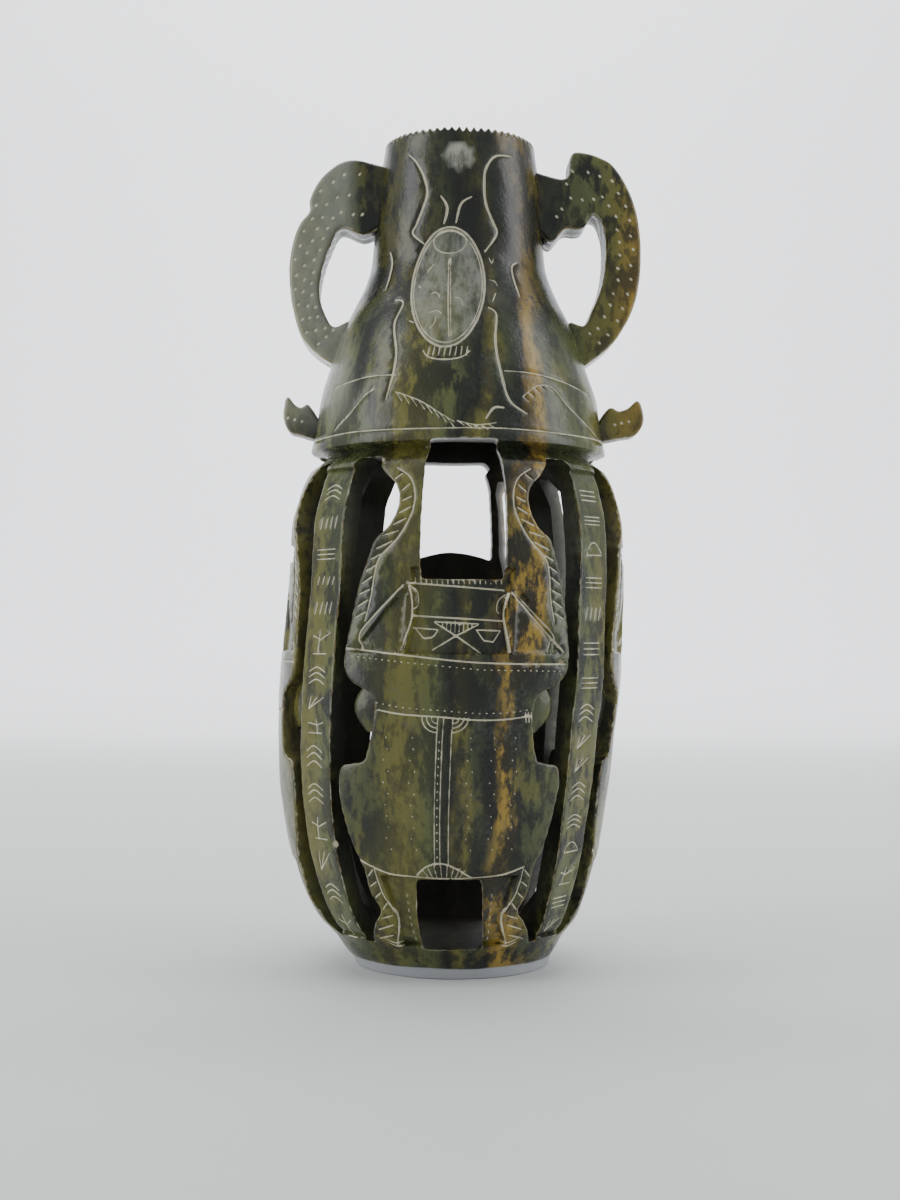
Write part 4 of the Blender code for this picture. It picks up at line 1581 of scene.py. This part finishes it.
@dataclass
class Handles:
    """The two serpent handles and the two curled tails below them."""

    form: TurnedForm
    thickness: float = 14.0
    tail_thickness: float = 9.0
    left_back: Line = (
        (8.0, 0.939), (13.4, 0.929), (19.0, 0.876), (21.9, 0.813), (22.0, 0.772), (24.8, 0.732),
        (26.8, 0.668), (27.7, 0.583), (26.8, 0.478), (24.4, 0.383), (20.2, 0.324),
    )
    left_gap: Line = (
        (6.0, 0.701), (11.5, 0.723), (13.7, 0.713), (15.2, 0.680), (17.0, 0.630), (18.5, 0.565),
        (18.8, 0.500), (17.0, 0.440), (14.5, 0.404), (10.0, 0.424),
    )
    right_back: Line = (
        (9.0, 0.891), (10.6, 0.967), (14.0, 0.976), (19.0, 0.961), (23.0, 0.935), (27.0, 0.872),
        (30.0, 0.791), (31.4, 0.700), (31.5, 0.604), (30.2, 0.505), (27.0, 0.422), (22.2, 0.350),
    )
    right_gap: Line = (
        (5.0, 0.685), (9.0, 0.730), (12.5, 0.730), (15.0, 0.739), (16.8, 0.777), (19.2, 0.765),
        (21.0, 0.707), (21.2, 0.630), (20.0, 0.544), (17.0, 0.462), (14.8, 0.418), (10.5, 0.429),
    )
    back_roots: tuple[float, float] = (0.915, 0.277)
    gap_roots: tuple[float, float] = (0.730, 0.391)
    tail: Line = (
        (0.10, 14.6), (0.36, 13.8), (0.60, 14.6), (0.86, 17.0), (1.00, 13.0), (0.97, 9.5),
        (0.78, 6.6), (0.45, 5.8), (-0.05, 4.6),
    )
    tail_reaches: tuple[float, float] = (51.4, 54.6)

    def height_at(self, share: float) -> float:
        """Height at a share of the stretch above the body."""
        return self.form.body + share * (self.form.height - self.form.body)

    def line(self, points: Line, roots: tuple[float, float]) -> Array:
        """Smooth line of one side of a handle, with both ends in the wall of the neck.

        Args:
            points: reach from the rim and height share of each knot.
            roots: height shares at which the ends meet the neck.

        Returns:
            Points as reach and height.
        """
        knots = [(self.form.rim_radius + reach, self.height_at(share)) for reach, share in points]
        ends = [(float(self.form.outside(self.height_at(share))) - 2.4, self.height_at(share))
                for share in roots]
        return smooth_line([ends[0], *knots, ends[1]], 5)

    def pits(self, back: Array, gap: Array, rows: Sequence[float]) -> list[Array]:
        """Short pecked pits in rows along a handle, between its two lines.

        Args:
            back: outer line of the handle.
            gap: inner line of the handle.
            rows: shares across the handle.

        Returns:
            The two ends of each pit.
        """
        made = []
        lengths = [np.hypot(*np.diff(line, axis=0).T) for line in (back, gap)]
        steps = int(lengths[0].sum() / 4.7)
        outer = evenly(back, lengths[0], lengths[0].sum() / steps)
        inner = evenly(gap, lengths[1], lengths[1].sum() / steps)
        count = min(len(outer), len(inner))
        for number, share in enumerate(rows):
            spots = inner[:count] + share * (outer[:count] - inner[:count])
            for step in range(2 + number % 2, count - 2):
                wild = 0.35 * math.sin(step * 3.7 + number)
                middle = spots[step] + [wild, 0.5 * wild]
                made.append(middle + np.array([(-0.12, 0.14), (0.16, -0.16)]))
        return made

    def build(self, parts: MeshParts) -> None:
        """Add both handles and both tails.

        Args:
            parts: the piece that is being gathered.
        """
        for side, back, gap, rows in ((-1, self.left_back, self.left_gap, (0.25, 0.52, 0.80)),
                                      (1, self.right_back, self.right_gap, (0.38, 0.74))):
            outer, inner = self.line(back, self.back_roots), self.line(gap, self.gap_roots)
            loop = np.vstack([outer, inner[::-1], outer[:1]])
            Slab(self.form, loop, self.thickness, self.pits(outer, inner, rows), side).build(parts)
        for side, reach in zip((-1, 1), self.tail_reaches):
            span = reach - self.form.lip_radius
            root = self.form.lip_radius - 3.2
            knots = [(root, self.form.body + 8.5)]
            knots += [(self.form.lip_radius + share * span, self.form.body + lift)
                      for share, lift in self.tail]
            knots.append((root, self.form.body + 4.0))
            loop = smooth_line(knots, 4)
            loop = np.vstack([loop, loop[:1]])
            pits = [np.array([(root + 6.0 + 2.1 * step, self.form.body + 9.6 + 0.5 * step)]) +
                    [(-0.1, 0.1), (0.12, -0.1)] for step in range(3)]
            Slab(self.form, loop, self.tail_thickness, pits, side, 1.1, 1.5).build(parts)


class Value:
    """A number in a shader, so that shader sums can be written as plain sums."""

    def __init__(self, net: "Net", socket: bpy.types.NodeSocket) -> None:
        """Wrap an output socket."""
        self.net = net
        self.socket = socket

    def _math(self, kind: str, *others: object) -> "Value":
        """Add a Math node with this value first."""
        return self.net.sum(kind, self, *others)

    def __add__(self, other: object) -> "Value":
        """Sum."""
        return self._math('ADD', other)

    __radd__ = __add__

    def __mul__(self, other: object) -> "Value":
        """Product."""
        return self._math('MULTIPLY', other)

    __rmul__ = __mul__

    def __sub__(self, other: object) -> "Value":
        """Difference."""
        return self._math('SUBTRACT', other)

    def __rsub__(self, other: object) -> "Value":
        """Difference the other way round."""
        return self.net.sum('SUBTRACT', other, self)

    def __truediv__(self, other: object) -> "Value":
        """Quotient."""
        return self._math('DIVIDE', other)

    def ramp(self, low: float, high: float) -> "Value":
        """Rise smoothly from 0 at low to 1 at high.

        Args:
            low: the value that gives 0.
            high: the value that gives 1.

        Returns:
            The value between 0 and 1.
        """
        node = self.net.node('ShaderNodeMapRange', {"interpolation_type": 'SMOOTHSTEP'},
                             {"Value": self, "From Min": low, "From Max": high})
        return Value(self.net, node.outputs[0])

    def most(self, other: object) -> "Value":
        """The larger of two numbers."""
        return self._math('MAXIMUM', other)


class Net:
    """The nodes of one material."""

    def __init__(self, name: str) -> None:
        """Make an empty material with its shader and output.

        Args:
            name: its name.
        """
        self.material = bpy.data.materials.new(name)
        self.material.use_nodes = True
        self.tree = self.material.node_tree
        self.shader = self.tree.nodes["Principled BSDF"]

    def node(self, kind: str, settings: dict | None = None,
             values: dict | None = None) -> bpy.types.Node:
        """Make any node.

        Args:
            kind: the node's type.
            settings: properties of the node, set first; "stops" fills a colour ramp.
            values: numbers, colours, outputs or Value objects for its sockets.

        Returns:
            The node.
        """
        node = self.tree.nodes.new(kind)
        for key, value in (settings or {}).items():
            if key == "stops":
                ramp = node.color_ramp
                while len(ramp.elements) < len(value):
                    ramp.elements.new(1.0)
                for element, (place, colour) in zip(ramp.elements, value):
                    element.position = place
                    element.color = (*colour, 1.0)
            else:
                setattr(node, key, value)
        for key, value in (values or {}).items():
            self.feed(node.inputs[key], value)
        return node

    def feed(self, socket: bpy.types.NodeSocket, value: object) -> None:
        """Give a socket a number, a colour or a link.

        Args:
            socket: the socket.
            value: the number, colour or output.
        """
        if isinstance(value, Value):
            self.tree.links.new(value.socket, socket)
        elif isinstance(value, bpy.types.NodeSocket):
            self.tree.links.new(value, socket)
        elif isinstance(value, (tuple, list)) and len(value) == 3 and socket.type == 'RGBA':
            socket.default_value = (*value, 1.0)
        else:
            socket.default_value = value

    def sum(self, kind: str, first: object, *others: object) -> Value:
        """Add one Math node."""
        values = dict(enumerate((first, *others)))
        return Value(self, self.node('ShaderNodeMath', {"operation": kind}, values).outputs[0])

    def blend(self, share: object, low: object, high: object, kind: str = 'MIX') -> bpy.types.NodeSocket:
        """Mix two colours.

        Args:
            share: how much of the second.
            low: the first colour.
            high: the second colour.
            kind: how they are mixed.

        Returns:
            The colour.
        """
        node = self.node('ShaderNodeMix', {"data_type": 'RGBA', "blend_type": kind},
                         {0: share, 6: low, 7: high})
        return node.outputs[2]

    def noise(self, vector: object, scale: float, detail: float = 3.0, rough: float = 0.55) -> Value:
        """Soft noise between 0 and 1.

        Args:
            vector: where it is read.
            scale: how fine it is.
            detail: how many layers it has.
            rough: how strong they are.

        Returns:
            The noise.
        """
        node = self.node('ShaderNodeTexNoise', {}, {"Vector": vector, "Scale": scale,
                                                    "Detail": detail, "Roughness": rough})
        return Value(self, node.outputs[0])

    def mark(self, name: str) -> Value:
        """A value stored on the points of the mesh."""
        node = self.node('ShaderNodeAttribute', {"attribute_name": name})
        return Value(self, node.outputs["Fac"])

    def squeezed(self, vector: object, x: float, y: float, z: float) -> bpy.types.NodeSocket:
        """Scale a vector along its axes."""
        node = self.node('ShaderNodeVectorMath', {"operation": 'MULTIPLY'}, {0: vector, 1: (x, y, z)})
        return node.outputs[0]


def paint(red: int, green: int, blue: int) -> tuple[float, float, float]:
    """Turn a screen colour from 0 to 255 into the light that a shader works with.

    Args:
        red: from 0 to 255.
        green: from 0 to 255.
        blue: from 0 to 255.

    Returns:
        The three shares of light.
    """
    share = np.array([red, green, blue]) / 255.0
    light = np.where(share <= 0.04045, share / 12.92, ((share + 0.055) / 1.055) ** 2.4)
    return tuple(float(part) for part in light)


@dataclass(frozen=True)
class StoneFinish:
    """Polished banded soapstone: near-black green with olive and ochre veins."""

    black: tuple[float, float, float] = paint(20, 23, 19)
    green: tuple[float, float, float] = paint(56, 62, 38)
    olive: tuple[float, float, float] = paint(96, 93, 44)
    moss: tuple[float, float, float] = paint(78, 84, 50)
    ochre: tuple[float, float, float] = paint(138, 114, 48)
    slate: tuple[float, float, float] = paint(74, 79, 74)
    cream: tuple[float, float, float] = paint(196, 191, 165)
    tan: tuple[float, float, float] = paint(140, 118, 76)
    # Pale grey of the scraped disc on the neck, also used for the painted highlight on the left of the
    # neck.
    scraped_grey_and_sheen: tuple[float, float, float] = paint(148, 151, 138)
    base: tuple[float, float, float] = paint(168, 171, 174)
    # Near-black used for the painted shade inside the vase.
    dark: tuple[float, float, float] = paint(30, 27, 20)

    def veins(self, net: Net, place: bpy.types.NodeSocket) -> tuple[bpy.types.NodeSocket, Value]:
        """Upright veins bent by noise, dark mottles over them, grey bloom, and a painted pale highlight
        down the left of the neck and the left handle.

        Args:
            net: the nodes of the material.
            place: the place of a point, in metres.

        Returns:
            The colour, and how dark a mottle is.
        """
        across = Value(net, net.node('ShaderNodeSeparateXYZ', {}, {0: place}).outputs[0])
        long = net.squeezed(place, 1.0, 1.0, 0.30)
        warp = net.noise(long, 46.0, 5.0, 0.62) - 0.5
        wide = net.noise(net.squeezed(place, 1.0, 1.0, 0.5), 14.0, 2.0) - 0.5
        share = (across + warp * 0.030 + wide * 0.026) / 0.12 + 0.5
        stops = (
            (0.00, self.slate), (0.10, self.olive), (0.20, self.moss), (0.27, self.green),
            (0.33, self.olive), (0.41, self.moss), (0.46, self.black), (0.50, self.olive),
            (0.53, self.green), (0.58, self.black), (0.615, self.ochre), (0.635, self.ochre),
            (0.67, self.green), (0.78, self.moss), (0.88, self.olive), (0.97, self.ochre),
        )
        colour = net.node('ShaderNodeValToRGB', {"stops": stops}, {0: share}).outputs[0]
        patch = net.noise(net.squeezed(place, 1.0, 1.0, 0.55), 58.0, 3.0)
        colour = net.blend(patch.ramp(0.54, 0.66) * 0.55, colour, self.olive)
        zone = net.noise(net.squeezed(place, 1.0, 1.0, 0.4), 24.0, 2.0).ramp(0.36, 0.60)
        smear = net.noise(net.squeezed(place, 1.0, 1.0, 0.42), 135.0, 6.0, 0.68).ramp(0.47, 0.56)
        speck = net.noise(net.squeezed(place, 1.0, 1.0, 0.55), 380.0, 3.0, 0.6).ramp(0.53, 0.62)
        mottle = (smear * (0.50 + zone * 0.44)).most(speck * (0.30 + zone * 0.42))
        colour = net.blend(mottle, colour, self.black)
        bloom = net.noise(net.squeezed(place, 1.0, 1.0, 0.6), 70.0, 4.0, 0.6)
        grains = net.noise(place, 850.0, 3.0, 0.7)
        colour = net.blend(bloom.ramp(0.52, 0.68) * grains.ramp(0.42, 0.62) * 0.42, colour, self.slate)
        height = Value(net, net.node('ShaderNodeSeparateXYZ', {}, {0: place}).outputs[2])
        aside = net.sum('ABSOLUTE', across).ramp(0.027, 0.031)
        high = height.ramp(0.170, 0.205)
        colour = net.blend(high * (1.0 - aside) * (0.45 + patch * 0.35), colour, self.black)
        # Painted highlight: pale grey painted down the left of the neck, lip and left handle, where the
        # left lamp's sheen falls.
        left = (0.0 - across).ramp(0.030, 0.036) * height.ramp(0.150, 0.166)
        colour = net.blend(left * (0.25 + bloom * 0.55), colour, self.scraped_grey_and_sheen)
        return colour, mottle

    def build(self) -> bpy.types.Material:
        """Make the material.

        Returns:
            The material.
        """
        net = Net("banded_stone")
        place = net.node('ShaderNodeTexCoord').outputs["Object"]
        height = Value(net, net.node('ShaderNodeSeparateXYZ', {}, {0: place}).outputs[2])
        colour, mottle = self.veins(net, place)
        broken = net.noise(place, 420.0, 3.0)
        pale = net.mark("pale")
        cloud = net.noise(net.squeezed(place, 1.0, 1.0, 0.4), 330.0, 4.0, 0.65)
        colour = net.blend(pale * (0.10 + cloud.ramp(0.30, 0.66) * 0.85), colour, self.scraped_grey_and_sheen)
        # Painted shade: the inside sheet, the window walls and, faintly, the middle legs are darkened
        # towards near-black where shade falls inside the vase, with a little of it for the duller
        # unpolished inner stone.
        inner = net.mark("hollow").ramp(0.15, 0.9)
        colour = net.blend(inner * 0.86, colour, self.dark)
        worn = (net.mark("edge") * (0.25 + broken * 1.15)).ramp(0.46, 0.86)
        rind = net.blend(net.noise(place, 150.0, 3.0).ramp(0.42, 0.60), self.tan, self.cream)
        colour = net.blend(worn * 0.66, colour, rind)
        line = (net.mark("cut") + (broken - 0.5) * 0.42).ramp(0.17, 0.46)
        colour = net.blend(line * (0.62 + cloud * 0.5), colour, self.cream)
        ground = 1.0 - (height + (net.noise(place, 60.0) - 0.5) * 0.0012).ramp(0.0029, 0.0035)
        colour = net.blend(ground, colour, self.base)
        net.feed(net.shader.inputs["Base Color"], colour)
        gloss = 0.17 + mottle * 0.05 + broken * 0.14
        rough = (gloss + line * 0.35 + worn * 0.25 + pale * 0.24 + inner * 0.3).most(ground * 0.6)
        net.feed(net.shader.inputs["Roughness"], rough)
        net.shader.inputs["IOR"].default_value = 1.54
        net.shader.inputs["Specular IOR Level"].default_value = 0.3
        bump = net.node('ShaderNodeBump', {}, {
            "Strength": 0.30, "Distance": 0.0006,
            "Height": net.noise(place, 240.0, 3.0) * 0.7 + net.noise(place, 1100.0, 2.0) * 0.3})
        net.feed(net.shader.inputs["Normal"], bump.outputs[0])
        return net.material


@dataclass(frozen=True)
class PaperFinish:
    """Pale seamless paper under and behind the vase."""

    # Wall and floor greys are painted light and shade on the one sheet of paper.
    wall: tuple[float, float, float] = paint(250, 251, 254)
    floor: tuple[float, float, float] = paint(196, 198, 197)

    def build(self) -> bpy.types.Material:
        """Make the material: paler up the wall than on the floor, which is painted light and shade on
        one sheet of paper, and very slightly cloudy.

        Returns:
            The material.
        """
        net = Net("pale_paper")
        place = net.node('ShaderNodeTexCoord').outputs["Object"]
        apart = net.node('ShaderNodeSeparateXYZ', {}, {0: place})
        depth = Value(net, apart.outputs[1]) + (net.noise(place, 1.7, 2.0) - 0.5) * 0.2
        # Painted light: the floor is painted darker and the wall paler, though the paper is one sheet.
        net.feed(net.shader.inputs["Base Color"], net.blend(depth.ramp(0.5, 1.5), self.floor, self.wall))
        net.shader.inputs["Roughness"].default_value = 0.75
        return net.material


@dataclass
class Studio:
    """Seamless paper, soft lights and the camera, in metres."""

    half_width: float = 2.4
    front: float = -1.6
    bend_start: float = 1.1
    bend_radius: float = 0.9
    top: float = 2.6
    camera_distance: float = 0.473
    camera_height: float = 0.0939
    camera_turn: float = -2.0
    camera_tilt: float = 1.43
    camera_roll: float = -0.34
    camera_side: float = -0.0033
    lens: float = 48.0

    def sweep(self) -> bpy.types.Object:
        """Floor that bends up into a wall: a quarter circle between two straight runs.

        Returns:
            The sheet of paper.
        """
        turn = np.linspace(0.0, 0.5 * math.pi, 25)
        depth = np.concatenate([[self.front, 0.0], self.bend_start + self.bend_radius * np.sin(turn),
                                [self.bend_start + self.bend_radius]])
        high = np.concatenate([[0.0, 0.0], self.bend_radius * (1 - np.cos(turn)), [self.top]])
        across = np.linspace(-self.half_width, self.half_width, 9)
        x, y = np.meshgrid(across, depth)
        z = np.repeat(high[:, None], len(across), 1)
        rows, columns = x.shape
        corner = (np.arange(rows - 1)[:, None] * columns + np.arange(columns - 1)).ravel()
        faces = np.column_stack([corner, corner + 1, corner + columns + 1, corner + columns])
        mesh = bpy.data.meshes.new("paper_sweep")
        mesh.from_pydata(np.column_stack([x.ravel(), y.ravel(), z.ravel()]).tolist(), [], faces.tolist())
        mesh.shade_smooth()
        item = bpy.data.objects.new("paper_sweep", mesh)
        item.data.materials.append(PaperFinish().build())
        bpy.context.scene.collection.objects.link(item)
        return item

    def light(self, name: str, place: tuple[float, float, float], size: tuple[float, float],
              power: float, aim: tuple[float, float, float] = (0.0, 0.0, 0.12)) -> None:
        """A rectangular soft light that faces the middle of the vase, or another point.

        Args:
            name: its name.
            place: where it stands, in metres.
            size: its width and height, in metres.
            power: its power in watts.
            aim: the point it faces.
        """
        data = bpy.data.lights.new(name, 'AREA')
        data.shape = 'RECTANGLE'
        data.size, data.size_y = size
        data.energy = power
        item = bpy.data.objects.new(name, data)
        item.location = place
        item.rotation_euler = (Vector(aim) - Vector(place)).to_track_quat('-Z', 'Y').to_euler()
        bpy.context.scene.collection.objects.link(item)

    def build(self) -> None:
        """Set up the sweep, the lights, the sky and the camera."""
        self.sweep()
        self.light("left_box", (-1.05, -0.30, 0.45), (0.5, 1.3), 10.0)
        self.light("right_box", (1.05, -0.20, 0.45), (0.5, 1.3), 9.0)
        self.light("top_box", (0.0, 0.1, 1.5), (1.6, 1.6), 6.0)
        self.light("wall_glow", (0.0, 0.7, 1.7), (2.4, 0.8), 52.0, (0.0, 2.0, 0.5))
        world = bpy.data.worlds.new("soft_tent")
        world.use_nodes = True
        sky = world.node_tree.nodes["Background"]
        sky.inputs["Color"].default_value = (0.93, 0.95, 1.0, 1.0)
        sky.inputs["Strength"].default_value = 0.75
        bpy.context.scene.world = world
        data = bpy.data.cameras.new("camera")
        data.sensor_fit = 'VERTICAL'
        data.sensor_height = 36.0
        data.lens = self.lens
        data.clip_start = 0.01
        camera = bpy.data.objects.new("camera", data)
        turn = math.radians(self.camera_turn)
        camera.location = (self.camera_distance * math.sin(turn) + self.camera_side,
                           -self.camera_distance * math.cos(turn), self.camera_height)
        camera.rotation_euler = (math.radians(90 + self.camera_tilt),
                                 math.radians(self.camera_roll), turn)
        bpy.context.scene.collection.objects.link(camera)
        bpy.context.scene.camera = camera


def build_vase() -> bpy.types.Object:
    """Build the whole vase as one piece and dress it.

    Returns:
        The finished piece.
    """
    form = TurnedForm()
    openings = Openings(form)
    neck = NeckCarving(form)
    strokes = neck.strokes()
    strokes += PanelCarving(form, openings).strokes()
    strokes += RibCarving(form).strokes()
    LOG.info("%d strokes", len(strokes))
    parts = MeshParts()
    Shell(form, openings, Relief(form), neck, strokes).build(parts)
    MiddleLegs(form).build(parts)
    Handles(form).build(parts)
    vase = parts.build("vase_stone")
    vase.data.materials.append(StoneFinish().build())
    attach(vase, "root")
    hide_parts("vase")
    LOG.info("vase_stone: %d triangles", len(vase.data.polygons))
    return vase


def main() -> None:
    """Build the vase and the studio."""
    logging.basicConfig(level=logging.INFO, format="%(name)s: %(message)s")
    build_vase()
    Studio().build()


if __name__ == "__main__":
    main()
